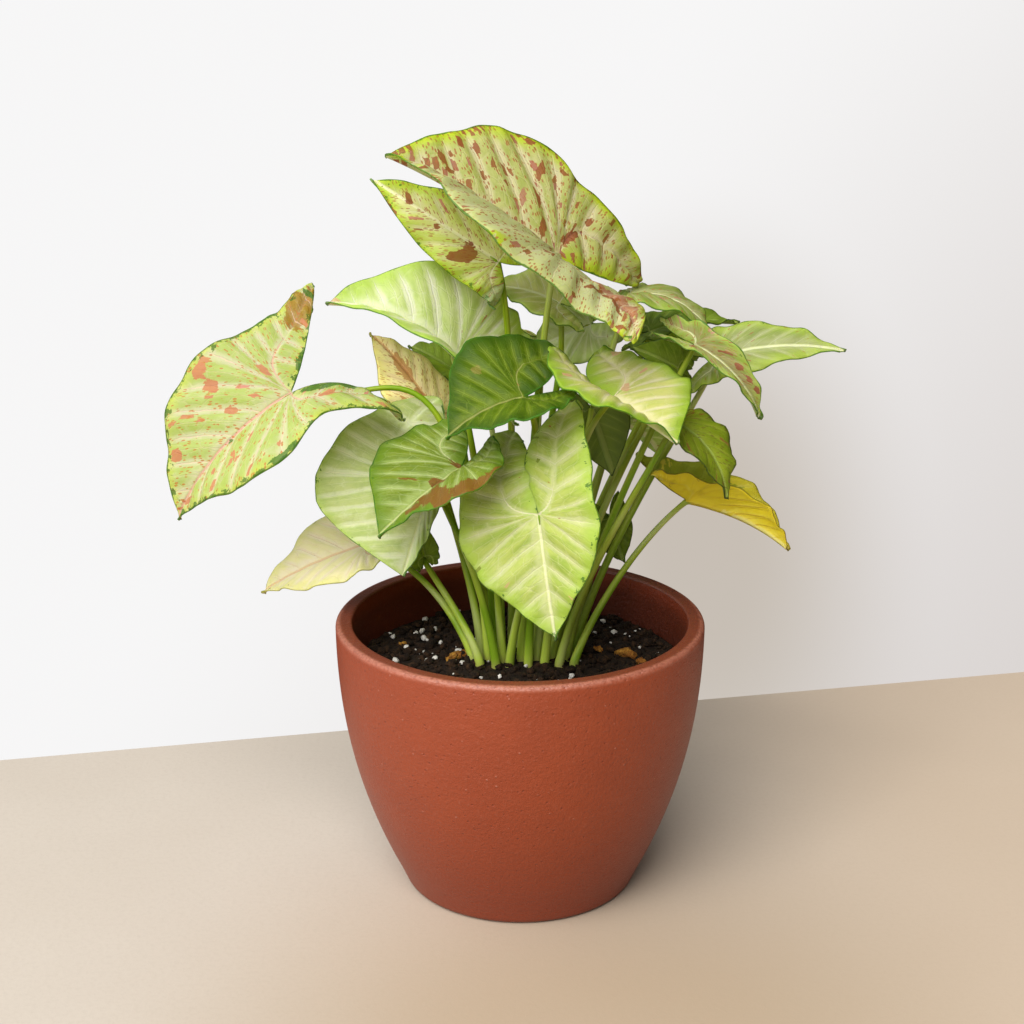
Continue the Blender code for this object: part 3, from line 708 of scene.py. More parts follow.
def leaf_colouring():
    """Lays the leaf's colours over each other by the masks, and gives height for the bump."""
    sockets = [socket_of(key, value) for key, value in LEAF_LOOK.items()]
    tree, asked, given = new_group("leaf colouring", [*MASKS, *sockets], ("Colour", "Height"))
    flat = attribute(tree, "flat")
    across, along, seed = flat.parts()
    veins, _, brink = attribute(tree, "vein").parts()
    marks = fit(tree, "Attribute", attribute_name="marks")
    rust, tan, dark = Signal(marks, "Color").parts("SeparateColor")
    pink = Signal(marks, "Alpha")
    seed = across.math("GREATER_THAN", 0.0).scaled(3.7, seed * 7.3)

    def along_veins(over, out):
        """A place measured across the side veins and along them, so a pattern is drawn out."""
        first = veins.scaled(over, seed)
        second = abs(across).scaled(out, along * (out * 0.4))
        return Signal(fit(tree, "CombineXYZ", {0: first, 1: second, 2: seed}))

    broad = flat.cloud(50, 3, 0.55)
    fine = flat.cloud(420, 3, 0.65)
    feather = along_veins(3.2, 75).cloud(1.0, 4, 0.62)

    def blots(over, out, share, large, ragged, outline):
        """Spots of many sizes, round or angular; the share says how many places hold one."""
        cells = along_veins(over, out).cells(1.0, voronoi_dimensions="2D", distance=outline)
        lot, kind, _ = Signal(cells, "Color").parts("SeparateColor")
        size = lot.fade(1.0 - share, 1.0, 0.0, large)
        torn = Signal(cells, "Distance") + fine.scaled(ragged, -ragged / 2)
        return torn.fade(size - 0.05, size, 1, 0) * size.fade(0.04, 0.07), kind

    shade = feather.scaled(0.6, broad * 0.4).fade(0.42, 0.62) * asked["Shade Share"]
    colour = shade.mix(asked["Blade Colour"], asked["Shade Colour"])
    zone = (asked["Zone"] + feather.scaled(1.5, -0.75)).fade(0.15, 0.95)
    colour = (zone * asked["Zone Share"]).mix(colour, asked["Zone Colour"])
    wash = flat.cloud(125, 4, 0.7)
    colour = wash.fade(0.50, 0.74, 0, 0.45).mix(colour, asked["Zone Colour"])
    colour = wash.fade(0.48, 0.28, 0, 0.40).mix(colour, asked["Shade Colour"])
    colour = (asked["Net"] * 0.13).mix(colour, asked["Vein Colour"])
    belt = (brink + broad.scaled(0.008, -0.004)).fade(0.0004, asked["Margin Reach"], 1, 0)
    colour = (belt * asked["Margin Share"]).mix(colour, asked["Margin Colour"])
    jag = flat.cloud(170, 4, 0.7).scaled(0.7, feather.scaled(0.8, -0.75))

    def spread(mask):
        """A listed patch with a torn edge."""
        return (mask + jag).fade(0.49, 0.54)

    worn = fine.scaled(0.5, 0.55)
    colour = (spread(tan) * worn).mix(colour, asked["Tan Colour"])
    colour = (spread(pink) * worn).mix(colour, asked["Pink Colour"])
    colour = (asked["Vein"] * asked["Vein Share"]).mix(colour, asked["Vein Colour"])
    colour = (asked["Rib"] * 0.8).mix(colour, asked["Rib Colour"])
    large, kind = blots(4.4, 150, asked["Blot Share"], 0.42, 0.60, "CHEBYCHEV")
    tint = kind.fade(0.45, 0.8).mix(asked["Rust Colour"], asked["Pink Colour"])
    colour = (large * 0.9).mix(colour, tint)
    small, _ = blots(13, 460, asked["Dot Share"], 0.46, 0.45, "EUCLIDEAN")
    colour = (small * 0.8).mix(colour, asked["Dot Colour"])
    colour = (spread(rust) * 0.92).mix(colour, asked["Rust Colour"])
    colour = (spread(dark) * 0.85).mix(colour, asked["Dark Colour"])

    specks = brink.fade(0.0005, 0.007, 1, 0).scaled(0.24, flat.cloud(300, 3, 0.7))
    limit = asked["Speck Share"].scaled(-0.22, 0.88)
    colour = (specks.fade(limit, limit + 0.03) * 0.8).mix(colour, asked["Edge Colour"])
    wander = flat.cloud(190, 3, 0.7).scaled(2.4, -0.6)
    thick = asked["Edge Width"] * wander.math("MAXIMUM", 0.25)
    edge = brink.fade(thick * 0.5, thick, 1, 0)
    (edge * 0.85).mix(colour, asked["Edge Colour"]).into(given["Colour"])
    height = (asked["Vein"] + asked["Rib"]).scaled(-0.5, fine * 0.35)
    asked["Net"].scaled(-0.22, height).into(given["Height"])
    return tree


LEAF_VEINS = leaf_veins()
LEAF_COLOURING = leaf_colouring()


def leaf_skin(name, look, roughness, rib_width, vein_width, relief):
    """The leaf's own finish: its values go into the two shared groups."""
    finish, tree, shader = new_finish(
        name, roughness, Specular_IOR_Level=0.13, Subsurface_Weight=0.4,
        Subsurface_Radius=(0.004, 0.005, 0.0012), Subsurface_Scale=1.0)
    widths = {"Rib Width": rib_width, "Vein Width": vein_width}
    masks = fit(tree, "Group", widths, node_tree=LEAF_VEINS)
    paint = fit(tree, "Group", node_tree=LEAF_COLOURING)
    for key in MASKS:
        Signal(masks, key).into(paint.inputs[key])
    for key, value in {**LEAF_LOOK, **look}.items():
        given = (*value, 1) if isinstance(value, tuple) else value
        paint.inputs[socket_of(key, value)].default_value = given
    Signal(paint, "Colour").into(shader.inputs["Base Color"])
    raise_surface(shader, Signal(paint, "Height"), relief, 0.0008)
    return finish


def underside(look):
    """The look from below: duller, with fewer blots and less of the pale zones."""
    back = {**LEAF_LOOK, **look}
    dull = [c * min(1.0, back["blade"][1] / 0.4) for c in (0.30, 0.36, 0.16)]
    for key in ("blade", "shade", "zone", "vein", "rib", "margin"):
        back[key] = tuple(0.62 * c + 0.38 * d for c, d in zip(back[key], dull))
    back["blot_share"] *= 0.5
    back["zone_share"] *= 0.6
    return back


SEEDS = count(1)


def grow(name, slot, look, under=(), **values):
    """One whole leaf: its blade, with a finish for each side of it, and its stalk."""
    leaf = drawn(name, **values)
    blade = blade_piece(leaf, next(SEEDS))
    back = {**underside(look), **dict(under)}
    for finish in (leaf_skin(name + "_top", look, roughness=0.45, rib_width=0.0010,
                             vein_width=0.042, relief=0.5),
                   leaf_skin(name + "_underside", back, roughness=0.6, rib_width=0.0013,
                             vein_width=0.09, relief=-0.6)):
        blade.data.materials.append(finish)
    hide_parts("blade_" + name)
    stalk = stalk_piece(leaf)
    stalk.data.materials.append(STALK_SKIN)
    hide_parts("stalk_" + name)
    for piece in (blade, stalk):
        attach(piece, "root")


# ---------------------------------------------------------------- the cream speckled leaves
# The oldest leaves of the crown have lost most of their green: they are cream to yellow-lime, with
# a bright lime belt and a thin dark edge, and rust and pink blots that lie along the veins. The
# top one stands up over the plant, one hides behind it, and one is held far out at the left.
grow("top_speckled", "cream",
     dict(blade=(0.39, 0.41, 0.13), shade=(0.25, 0.3, 0.055), zone=(0.57, 0.53, 0.29),
          vein=(0.62, 0.54, 0.32), rib=(0.5, 0.42, 0.26), margin=(0.38, 0.5, 0.015),
          # The tan here is the grey of the painted shade on the near half.
          rust=(0.23, 0.058, 0.022), tan=(0.45, 0.47, 0.23), pink=(0.33, 0.1, 0.08),
          zone_share=0.85, blot_share=0.32, dot_share=0.6, margin_share=1.0, margin_reach=0.009,
          edge_width=0.0013),
     base=(15, 2, 276), tip=(-54, -4, 320), face=(58, 38), root=(0.5, -2), width=(42, 41),
     lobe=(62, 50), splay=(48, 45), fold=(47, 34), curl=(-55, -18), hang=(-50, 60), droop=22,
     shoulder=0.3, sharp=0.58, waist=(0, 0.1), lift=100, puff=2, bulge=(0.32, 0.1),
     blunt=(0.14, 0.14),
     marks=dict(rust=[(8, 62, 3.6, 1.8, 58), (5, 57, 2.5, 1.2, -68), (18, 58, 2.6, 1.3, 36),
                      (20, 51, 2.7, 1.2, 51), (37, 34, 2.9, 2, -78), (27, 25, 3.7, 2, 13),
                      (34, 16, 2.2, 1.6, 73), (15.5, 20, 4.1, 1.8, 30), (13, 35, 1.8, 1.2, 47),
                      (6, 13, 4, 1.8, 25), (12, 1, 5.1, 2, -25), (-22, 11, 2, 2, 0),
                      (24, -2, 2.6, 1.3, -16), (-31, 37, 2.1, 1.2, 23), (-36, 18, 1.9, 1.2, 30),
                      (-38, -4, 2.1, 1.5, 74), (-25, -14, 6, 1.6, -56), (-27, -24, 13, 1.3, 42),
                      (-42, -32, 3.4, 1.2, 83)],
                # The two large tan patches grey the near half: painted shade where that half turns
                # from the light, over a duller hue of its own.
                tan=[(-23, 42, 20, 42, 0), (-34, 2, 31, 36, 0)],
                pink=[(12, 26, 4.2, 1.3, 22), (-16, -15, 6.2, 3, 80), (-25, -30, 14, 4.5, 42)]))
grow("back_speckled", "cream",
     dict(blade=(0.51, 0.6, 0.13), shade=(0.38, 0.51, 0.08), zone=(0.63, 0.62, 0.29),
          margin=(0.36, 0.52, 0.02), rust=(0.24, 0.06, 0.022), tan=(0.34, 0.41, 0.22),
          blot_share=0.12, dot_share=0.5, speck_share=0.3, margin_share=0.9),
     base=(-9, 18, 273), tip=(-62, 24, 307), face=(-22, 28), root=(-3.5, 15.5), width=(16, 17),
     lobe=(22, 21), splay=(50, 40), fold=(0, 22), curl=(-22, -10), hang=(70, 30), droop=28,
     shoulder=0.15, sharp=0.5, wave=2, lift=90, elbow=(-3, 36, 244),
     marks=dict(rust=[(-4, 13, 5, 4, 20), (-8, 16, 4, 2.4, -50), (1, 46, 2.9, 1.5, 52),
                      (-2, 30, 1.6, 1.3, 81), (-7, 50, 5, 1.6, 66)],
                tan=[(-15, -12, 10, 10, 0)]))
grow("left_speckled", "cream",
     dict(blade=(0.36, 0.45, 0.13), shade=(0.29, 0.38, 0.07), zone=(0.53, 0.53, 0.32),
          vein=(0.7, 0.5, 0.36), rib=(0.62, 0.34, 0.26), margin=(0.44, 0.52, 0.06),
          edge=(0.03, 0.1, 0.01), dot=(0.42, 0.14, 0.03), rust=(0.46, 0.17, 0.085),
          tan=(0.25, 0.105, 0.006), dark=(0.035, 0.12, 0.012), pink=(0.52, 0.19, 0.14),
          vein_share=0.5, blot_share=0.06, dot_share=0.42, speck_share=0.6, margin_share=0.6,
          edge_width=0.0012),
     base=(-95, -8, 223), tip=(-144, -14, 170), face=(-45, 38), root=(-14, -2), width=(37, 38),
     lobe=(50, 50), splay=(20, 50), fold=(15, 34), curl=(-16, -10), hang=(90, 2), droop=46,
     shoulder=0.25, waist=(0.22, 0.1), lift=165, reach=50, bulge=(0.1, 0.05), stout=1.5,
     elbow=(-56, 16, 209), upright=4.0, blunt=(0.0, 0.2), puff=1.4,
     marks=dict(rust=[(31, 24, 3.7, 3, -10), (23, 24, 4.4, 3, 18), (9, 24, 3.2, 2, 25),
                      (14, 4, 4.4, 1.3, 18), (-13.5, -12, 4.3, 2, 79), (13.5, 52, 3.1, 2.5, 45),
                      (-12, 33, 5.2, 1, -13), (-4, 62, 7, 1.5, 40), (6.4, 13, 3.7, 1, 43)],
                tan=[(30, -21, 9, 7, -47), (31, -27, 7, 6, -7)],
                dark=[(-1, 32, 2, 1.4, 30), (-4.5, -8, 4.5, 3.8, -79), (-5, -17, 6, 4.2, -87),
                      (-6, -25, 5, 4.2, 62), (-11, -32, 6, 3.4, 40), (-18, -36, 6.2, 2.4, 29),
                      (11, -13, 7, 2.2, -50), (19, -22, 7, 2.2, -48), (26, -31, 5, 2, -40),
                      (35, -28, 3.8, 1.4, 15), (35, -3, 7, 1.6, 79), (-34, 16, 9, 1.9, -86),
                      (-34, 3, 6, 1.6, -85)]))


# ---------------------------------------------------------------- the lime leaves
# The fresh full-grown leaves are light lime, with a cream vein network that fades into paler
# zones, and a darker green margin. They fill the front of the plant.
grow("upper_pale", "lime",
     dict(blade=(0.58, 0.72, 0.27), shade=(0.42, 0.58, 0.15), zone=(0.8, 0.86, 0.54),
          vein=(0.84, 0.87, 0.62), rib=(0.82, 0.85, 0.58), margin=(0.34, 0.54, 0.05),
          tan=(0.62, 0.36, 0.2), zone_share=0.8, vein_share=0.6, shade_share=1.0, margin_share=0.8,
          margin_reach=0.011),
     base=(-27, 26, 231), tip=(-82, 18, 256), face=(0, 60), root=(-10.5, 4), width=(35, 35),
     lobe=(38, 40), splay=(30, 38), fold=(39, 39), curl=(-10, -5), hang=(10, -12), droop=60,
     shoulder=0.1, sharp=0.32, lift=70, elbow=(-24, 18, 212),
     marks=dict(tan=[(0, 60, 3.5, 2, 90)]))
grow("middle_lime", "lime",
     dict(blade=(0.53, 0.55, 0.16), shade=(0.42, 0.49, 0.1), zone=(0.7, 0.67, 0.35),
          vein=(0.8, 0.76, 0.48), rib=(0.76, 0.68, 0.42), margin=(0.22, 0.36, 0.02),
          pink=(0.62, 0.34, 0.2), zone_share=0.9, vein_share=0.2, margin_share=0.95,
          margin_reach=0.013, edge_width=0.0009),
     base=(37, -21, 224), tip=(62, -47, 212), face=(0, 85), root=(10.5, -8), width=(33, 33),
     lobe=(36, 35), splay=(37, 28), fold=(22, 42), curl=(-18, -40), hang=(6, -40), droop=10,
     shoulder=0.21, sharp=0.39, lift=70, bulge=(0.22, 0.22),
     marks=dict(pink=[(-8, 0, 3.7, 1.8, 50), (-24, -21, 3, 2.4, 41)]))
grow("front_lime", "lime",
     dict(blade=(0.42, 0.51, 0.115), shade=(0.28, 0.39, 0.06), zone=(0.58, 0.63, 0.29),
          vein=(0.72, 0.74, 0.42), rib=(0.72, 0.74, 0.42), margin=(0.3, 0.48, 0.04),
          rust=(0.16, 0.22, 0.02), pink=(0.52, 0.4, 0.16), zone_share=0.65, vein_share=0.4,
          shade_share=1.0, blot_share=0.03, speck_share=0.3, margin_share=0.7, margin_reach=0.009),
     base=(7, -42, 181), tip=(14, -56, 132), face=(-42, 17), root=(-4.5, -8), width=(28, 34),
     lobe=(49, 40), splay=(14, 30), fold=(0, 26), curl=(-10, -4), hang=(40, 72), droop=4,
     shoulder=0.14, sharp=0.32, lift=40, bulge=(0.25, 0.16))


# ---------------------------------------------------------------- the green leaves
# Two younger leaves kept more green. The middle one is deep green with a pinkish midrib; the left
# one is mid green with pale stripes along its veins and a broad rust-brown lower margin.
grow("middle_green", "green",
     dict(blade=(0.068, 0.118, 0.003), shade=(0.036, 0.07, 0.002), zone=(0.14, 0.195, 0.012),
          vein=(0.26, 0.34, 0.06), rib=(0.27, 0.28, 0.08), margin=(0.028, 0.07, 0.003),
          tan=(0.2, 0.17, 0.04), dark=(0.03, 0.075, 0.003), zone_share=0.6, vein_share=0.25,
          shade_share=1.0, margin_share=0.9, margin_reach=0.011, edge_width=0.0016),
     base=(1, -28, 226), tip=(-30, -36, 211), face=(0, 68), root=(3.5, -8), width=(32, 34),
     lobe=(23, 29), splay=(38, 31), fold=(28, 15), curl=(-10, 6), hang=(-20, -20), droop=44,
     shoulder=0.22, sharp=0.22, lift=70, elbow=(11, -6, 213),
     marks=dict(tan=[(19, 12, 3.2, 2, 13)],
                dark=[(27, 18, 7.2, 1.2, -35), (32, 7, 6, 1.2, 90)]))
grow("left_rust", "green",
     dict(blade=(0.16, 0.215, 0.02), shade=(0.085, 0.14, 0.008), zone=(0.32, 0.4, 0.13),
          vein=(0.48, 0.56, 0.28), rib=(0.46, 0.5, 0.22), margin=(0.09, 0.17, 0.01),
          rust=(0.17, 0.062, 0.014), zone_share=0.65, vein_share=0.4, margin_share=0.85,
          margin_reach=0.01, edge_width=0.0011),
     base=(-24, -25, 196), tip=(-57, -53, 175), face=(-34, 49), root=(-7.5, -2), width=(30, 33),
     lobe=(20, 25), splay=(20, 45), fold=(39, 17), curl=(-35, -14), hang=(-50, -10), droop=16,
     shoulder=0.27, sharp=0.34,
     marks=dict(rust=[(-14, 24, 12, 6, -5), (-8, 33, 5, 3, 20), (-27, 15, 9, 5.5, 76),
                      (-1, 14, 4.4, 3, 17), (-30, 1, 9, 3.4, 84), (10, 21, 5.4, 0.9, 33),
                      (2, 1, 4, 1.3, 14)]))


# ---------------------------------------------------------------- the grey-green leaves
# Older shaded leaves with a whitish, almost powdery grey-green skin. One hangs behind the rust
# leaf at the left, two stand at the back, and two reach out to the right.
GREY = dict(blade=(0.46, 0.56, 0.2), shade=(0.34, 0.47, 0.13), zone=(0.62, 0.69, 0.34),
            vein=(0.7, 0.76, 0.44), rib=(0.7, 0.74, 0.42), vein_share=0.5)
grow("left_grey", "grey",
     dict(GREY, blade=(0.48, 0.58, 0.22), shade=(0.32, 0.44, 0.13), zone=(0.72, 0.8, 0.46),
          vein_share=0.7, speck_share=0.2),
     base=(-37, 0, 184), tip=(-49, -26, 149), face=(-20, 10), root=(-10.5, -8), width=(8, 47),
     lobe=(14, 36), splay=(25, 10), fold=(24, 24), curl=(-8, 10), hang=(10, -25), droop=6,
     shoulder=0.34, sharp=0.8, elbow=(-30, -8, 165))
grow("back_olive", "grey",
     dict(GREY, blade=(0.46, 0.5, 0.12), shade=(0.36, 0.4, 0.09), zone=(0.54, 0.54, 0.2)),
     base=(17, 38, 252), tip=(-12, 50, 257), face=(0, 65), root=(-1, 10), width=(18, 18),
     lobe=(18, 18), droop=40, lift=70)
grow("back_mist", "grey", GREY,
     base=(31, 52, 240), tip=(7, 64, 226), face=(-10, 30), root=(6, 10), width=(18, 18),
     lobe=(18, 18), lift=70)
grow("right_arched", "grey",
     dict(GREY, blade=(0.23, 0.28, 0.06), shade=(0.16, 0.21, 0.03), zone=(0.36, 0.36, 0.16),
          vein=(0.5, 0.52, 0.28), margin=(0.24, 0.38, 0.03), rust=(0.3, 0.11, 0.05),
          blot_share=0.12, dot_share=0.2),
     base=(46, 30, 257), tip=(83, 21, 237), face=(10, 85), root=(10.5, 4), width=(17, 17),
     lobe=(13, 14), fold=(8, 8), curl=(-20, -20), hang=(10, 10), droop=90, sharp=0.36, lift=70)
grow("right_long", "grey",
     dict(GREY, blade=(0.25, 0.3, 0.085), shade=(0.17, 0.24, 0.04), zone=(0.36, 0.39, 0.18),
          vein=(0.5, 0.54, 0.3), margin=(0.34, 0.5, 0.03), dot_share=0.05),
     base=(85, 34, 229), tip=(140, 24, 234), face=(-10, 53), root=(23.5, 5), width=(14, 13),
     lobe=(22, 23), splay=(33, 39), fold=(18, 5), curl=(-10, -18), hang=(8, 20), droop=45,
     shoulder=0.12, elbow=(80, 48, 205))
grow("right_pink", "pink",
     dict(GREY, blade=(0.26, 0.29, 0.09), shade=(0.19, 0.25, 0.05), zone=(0.36, 0.3, 0.15),
          vein=(0.46, 0.42, 0.24), rust=(0.26, 0.07, 0.05), pink=(0.46, 0.24, 0.18), blot_share=0.2,
          dot_share=0.3),
     base=(73, 8, 240), tip=(101, 2, 209), face=(-24, 60), root=(20, -1), width=(10, 10),
     lobe=(20, 19), splay=(17, 20), fold=(62, 44), curl=(-2, -10), droop=84, sharp=0.39,
     elbow=(68, 20, 224),
     marks=dict(rust=[(6, 3, 1.8, 1.6, 80), (-3.6, 21, 2, 1.6, 90), (-3.5, 27, 2.4, 1.5, 90),
                      (-3.5, 32, 2.3, 1.2, 89)]))


# ---------------------------------------------------------------- the yellow and tan leaves
# Leaves at the end of their life: one cream-yellow at the lower left, one tan and freckled beside
# the stalks, and one bright yellow at the right that turns its pleated underside to the front.
grow("left_cream", "yellow",
     dict(blade=(0.85, 0.79, 0.38), shade=(0.78, 0.77, 0.3), zone=(0.88, 0.8, 0.52),
          vein=(0.8, 0.6, 0.34), rib=(0.74, 0.5, 0.28), margin=(0.62, 0.66, 0.16),
          edge=(0.3, 0.3, 0.06), speck_share=0.1, edge_width=0.0004),
     base=(-66, 12, 151), tip=(-115, 22, 125), face=(-23, 60), root=(-20.5, -2), width=(23, 24),
     fold=(18, 18), droop=20, lift=20, lobe=(16, 18))
grow("left_tan", "yellow",
     dict(blade=(0.96, 0.85, 0.36), shade=(0.94, 0.74, 0.3), zone=(0.95, 0.74, 0.38),
          vein=(0.66, 0.42, 0.18), rib=(0.62, 0.34, 0.15), margin=(0.62, 0.58, 0.1),
          edge=(0.2, 0.2, 0.03), dot=(0.48, 0.2, 0.05), rust=(0.56, 0.27, 0.1), blot_share=0.12,
          dot_share=0.45, edge_width=0.0005),
     base=(-35, 27, 202), tip=(-65, 37, 239), face=(36, 30), root=(-17, 4), width=(20, 19),
     lobe=(11, 12), fold=(2, -8), curl=(-7, -16), droop=34, shoulder=0.21, sharp=0.47,
     marks=dict(rust=[(0, 29, 7.4, 3, 84), (-1, 13, 5.4, 2.6, 90), (-10, 16, 3.8, 1.2, -76)]))
grow("right_yellow", "yellow",
     dict(blade=(0.74, 0.62, 0.04), shade=(0.6, 0.54, 0.03), zone=(0.8, 0.7, 0.1),
          vein=(0.6, 0.52, 0.12), rib=(0.6, 0.5, 0.12), margin=(0.5, 0.46, 0.03),
          edge=(0.2, 0.16, 0.01), dark=(0.25, 0.32, 0.02)),
     under=dict(blade=(0.95, 0.79, 0.035), shade=(0.82, 0.66, 0.02), zone=(0.97, 0.88, 0.14),
                vein=(0.56, 0.33, 0.01), rib=(0.84, 0.8, 0.26), margin=(0.7, 0.54, 0.02),
                edge=(0.26, 0.14, 0.02), dark=(0.8, 0.64, 0.03), vein_share=0.75,
                edge_width=0.0006),
     base=(73, 22, 168), tip=(120, 24, 144), face=(0, 76), root=(23.5, -7), width=(17, 17),
     lobe=(29, 23), splay=(38, 50), fold=(48, 74), curl=(-8, -12), hang=(14, 22), droop=34,
     shoulder=0.29, sharp=0.44, lift=20, puff=1.4,
     marks=dict(dark=[(0, 2, 26, 17, 0), (-16, -20, 12, 10, 0)]))


# ---------------------------------------------------------------- the dark olive leaves
# Small inner leaves that hardly see the light: dark olive green, thin and partly turned away or
# curled, tucked between the stalks and behind the larger leaves.
OLIVE = dict(blade=(0.12, 0.19, 0.012), shade=(0.07, 0.13, 0.008), zone=(0.2, 0.28, 0.03),
             vein=(0.26, 0.34, 0.06), rib=(0.3, 0.38, 0.08), margin=(0.08, 0.12, 0.01),
             edge=(0.025, 0.05, 0.008), zone_share=0.5)
grow("left_small", "olive",
     dict(OLIVE, blade=(0.24, 0.36, 0.03)),
     base=(-30, 58, 218), tip=(-50, 64, 228), face=(0, 70), root=(-14, 10), width=(12, 12),
     lobe=(12, 12), droop=20)
grow("right_thin", "olive", OLIVE,
     base=(57, 46, 238), tip=(98, 56, 240), face=(-10, 75), root=(17, 5), width=(12, 14),
     lobe=(18, 18), lift=60)
grow("right_olive", "olive",
     dict(OLIVE, blade=(0.2, 0.27, 0.012), shade=(0.14, 0.2, 0.008), zone=(0.3, 0.36, 0.03),
          dot=(0.12, 0.06, 0.02), rust=(0.2, 0.07, 0.02), pink=(0.24, 0.1, 0.03), blot_share=0.15,
          dot_share=0.3),
     base=(64, -4, 210), tip=(86, -18, 180), face=(50, 30), root=(17, -8), width=(18, 18),
     lobe=(10, 10), fold=(10, 12), curl=(-12, -2), droop=75, shoulder=0.21, elbow=(57, -6, 190))
grow("low_dark", "olive", OLIVE,
     base=(40, 29, 157), tip=(46, 21, 139), face=(0, 15), root=(26.5, 10.5), width=(9, 12),
     lobe=(13, 12), fold=(10, 10))
grow("low_curled", "olive", OLIVE,
     base=(-41, -4, 150), tip=(-46, -6, 170), face=(10, 15), root=(-17.5, -8), width=(8, 7),
     lobe=(6, 6), fold=(25, 25), droop=20, lift=20)
grow("middle_shade", "olive", OLIVE,
     base=(30, 6, 213), tip=(40, 8, 183), face=(180, 10), root=(7, -2), width=(15, 15),
     lobe=(14, 14), fold=(8, 8), droop=15, elbow=(27, 0, 190))
grow("right_shade", "olive", OLIVE,
     base=(72, 66, 223), tip=(48, 61, 239), face=(0, 50), root=(13, 11), width=(15, 15),
     lobe=(14, 14), droop=35)
grow("right_shadow", "olive", OLIVE,
     base=(68, 24, 226), tip=(47, 17, 237), face=(0, 40), root=(13.5, -2), width=(10, 10),
     lobe=(10, 10))


# ---------------------------------------------------------------- the leaves at the rear
# The photograph hides these three, so they are guessed from the rest of the plant: one lime, one
# cream and speckled, and one green, hanging to the rear so that the crown is whole all round.
grow("rear_left", "lime",
     dict(zone_share=0.9, vein_share=0.6, speck_share=0.1),
     base=(-16, 80, 200), tip=(-38, 120, 172), face=(200, 60), root=(-8, 10), width=(24, 24),
     droop=45, shoulder=0.2)
grow("rear_middle", "cream",
     dict(blade=(0.52, 0.6, 0.14), shade=(0.42, 0.54, 0.1), zone=(0.66, 0.64, 0.34), blot_share=0.3,
          dot_share=0.5, speck_share=0.3, margin_share=0.8, edge_width=0.001),
     base=(10, 80, 228), tip=(6, 128, 195), face=(180, 55), root=(3, 16), width=(30, 30),
     lobe=(34, 34), droop=45, shoulder=0.2, lift=60)
grow("rear_right", "green",
     dict(blade=(0.2, 0.36, 0.03), shade=(0.12, 0.27, 0.015), zone=(0.4, 0.55, 0.12),
          zone_share=0.9, edge_width=0.001),
     base=(46, 90, 186), tip=(72, 128, 156), face=(150, 60), root=(19.5, 16.5), width=(26, 26),
     lobe=(20, 20), droop=45, shoulder=0.2)


# ---------------------------------------------------------------- the room
# The pot stands on a matt beige table top, turned a little to the camera, in front of a white wall
# that is painted into the background, with painted shade and a painted shadow of the plant on it.
# The light is one large soft window at the upper left.
TABLE_WIDE, TABLE_DEEP, TABLE_THICK = 6.0, 3.0, 0.04
TABLE_TURN = 12.1
WALL_LINE = Vector((0.0130, 0.174, 0.0))
WINDOW_PLACE = Vector((-0.80, -1.90, 2.28))
WINDOW_AIM = Vector((0, 0, 0.15))
WINDOW_SIZE = 2.1
WINDOW_POWER = 116
CAMERA_PLACE = (-0.0035, -0.735, 0.395)
CAMERA_DIP = 17.1
LENS = 63.28


def beige_board():
    """Pale board with fine fibres and soft clouds, with painted warm shade at the right and round
    the pot.
    """
    finish, tree, shader = new_finish("beige_board", 0.7)
    place = place_on(tree)
    fibres = place.cloud(420, 4, 0.7)
    clouds = place.cloud(9, 4, 0.55)
    close = place.vector("DISTANCE", (0.03, -0.15, 0.0), "Value")
    colour = clouds.fade(0.30, 0.75).mix((0.55, 0.485, 0.41), (0.57, 0.507, 0.432))
    colour = fibres.fade(0.40, 0.75, 0, 0.3).mix(colour, (0.46, 0.40, 0.33))
    # Painted shade: the board turns warmer towards the right, where the pot's shade and red bounce
    # fall.
    colour = place.parts()[0].fade(-0.04, 0.22, 0, 0.6).mix(colour, (0.55, 0.41, 0.28))
    # Painted shade and painted reflected light: darker and redder round the foot of the pot.
    colour = close.fade(0.22, 0.04, 0, 0.8).mix(colour, (0.41, 0.305, 0.195))
    colour.into(shader.inputs["Base Color"])
    raise_surface(shader, fibres, 0.25, 0.0003)
    return finish


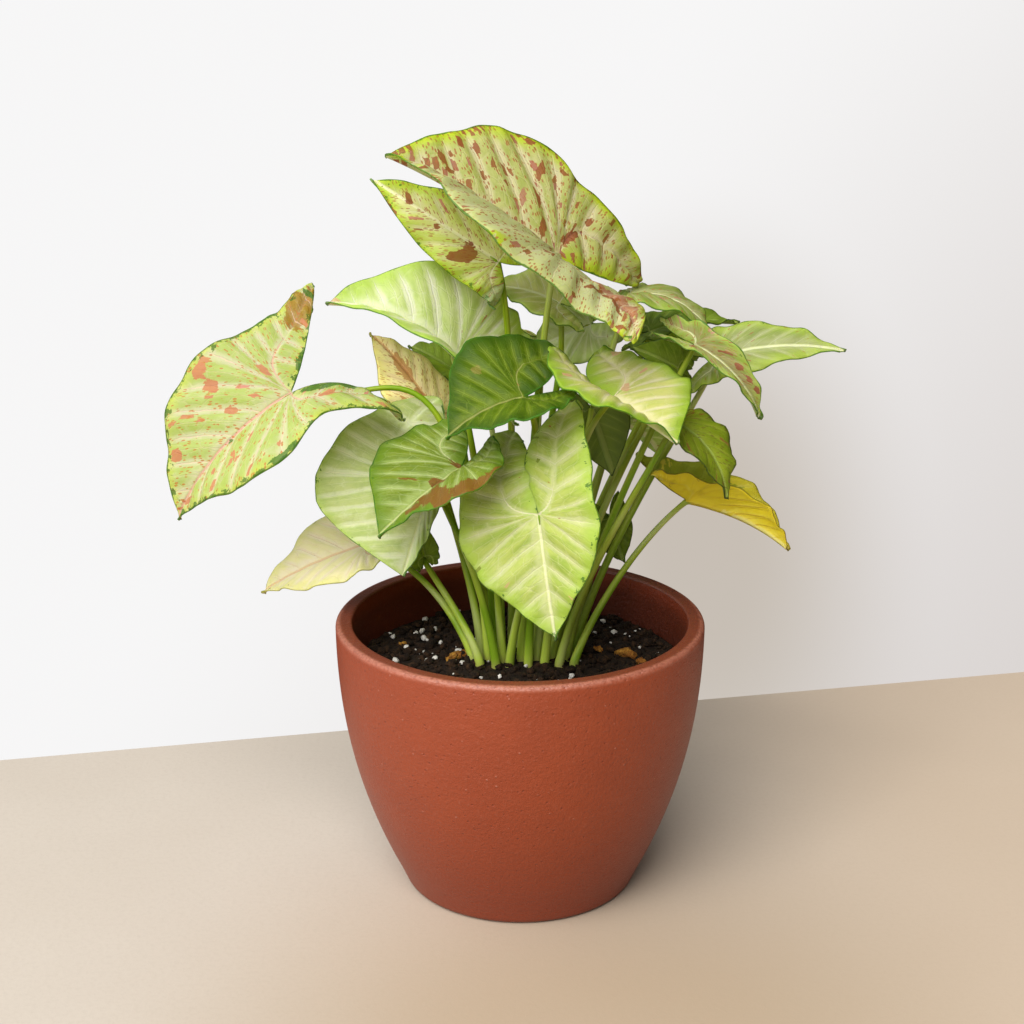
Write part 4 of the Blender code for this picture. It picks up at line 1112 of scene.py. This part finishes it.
slab = bmesh.new()
size = Matrix.Diagonal((TABLE_WIDE, TABLE_DEEP, TABLE_THICK, 1))
bmesh.ops.create_cube(slab, size=1.0, matrix=size)
below = Matrix.Translation((0, -TABLE_DEEP / 2, -TABLE_THICK / 2))
bmesh.ops.transform(slab, matrix=below, verts=slab.verts)
lie = Matrix.Translation(WALL_LINE) @ Matrix.Rotation(radians(TABLE_TURN), 4, "Z")
bmesh.ops.transform(slab, matrix=lie, verts=slab.verts)
table = placed("table_top", slab)
table.data.shade_flat()
table.data.materials.append(beige_board())

# The light that reaches the plant is brighter from the window's side. The camera sees a painted
# wall
# instead: white, with painted shade towards the lower right and a soft warm painted plant shadow.
world = bpy.data.worlds.new("white room")
bpy.context.scene.world = world
world.use_nodes = True
way = Signal(fit(world.node_tree, "TexCoord"), "Generated")
east, _, height = way.parts()
side = way.vector("DOT_PRODUCT", (-0.70, -0.30, 0.65), "Value")
glow = side.fade(-0.12, 0.95).mix((0.030, 0.026, 0.021), (1.00, 1.01, 1.02))
# Painted shade: the wall darkens towards the lower right.
wall_shade_slope = east.scaled(1.1, height * -1.0)
wall = wall_shade_slope.fade(0.1, 0.75).mix((0.93, 0.925, 0.925), (0.70, 0.66, 0.64))
# Painted shadow: a soft warm blot where the plant's shadow falls on the wall.
drawn_in = way.vector("MULTIPLY", (7.5, 0.0, 4.7))
from_wall_shadow = drawn_in.vector("DISTANCE", (0.785, 0.0, -1.50), "Value")
wall = from_wall_shadow.fade(1.0, 0.15).mix(wall, (0.57, 0.515, 0.455))
seen = Signal(fit(world.node_tree, "LightPath"), "Is Camera Ray")
seen.mix(glow, wall).into(world.node_tree.nodes["Background"].inputs["Color"])

lamp = bpy.data.lights.new("window", "AREA")
lamp.size = WINDOW_SIZE
lamp.energy = WINDOW_POWER
lamp.color = (1.0, 0.98, 0.95)
window = bpy.data.objects.new("window", lamp)
window.location = WINDOW_PLACE
window.rotation_euler = (WINDOW_AIM - WINDOW_PLACE).to_track_quat("-Z", "Y").to_euler()
bpy.context.scene.collection.objects.link(window)

lens = bpy.data.cameras.new("camera")
lens.sensor_width = 36
lens.lens = LENS
lens.clip_start = 0.01
camera = bpy.data.objects.new("camera", lens)
camera.location = CAMERA_PLACE
camera.rotation_euler = (radians(90 - CAMERA_DIP), 0, 0)
bpy.context.scene.collection.objects.link(camera)
bpy.context.scene.camera = camera
bpy.context.scene.view_settings.view_transform = "Standard"

bpy.context.view_layer.update()
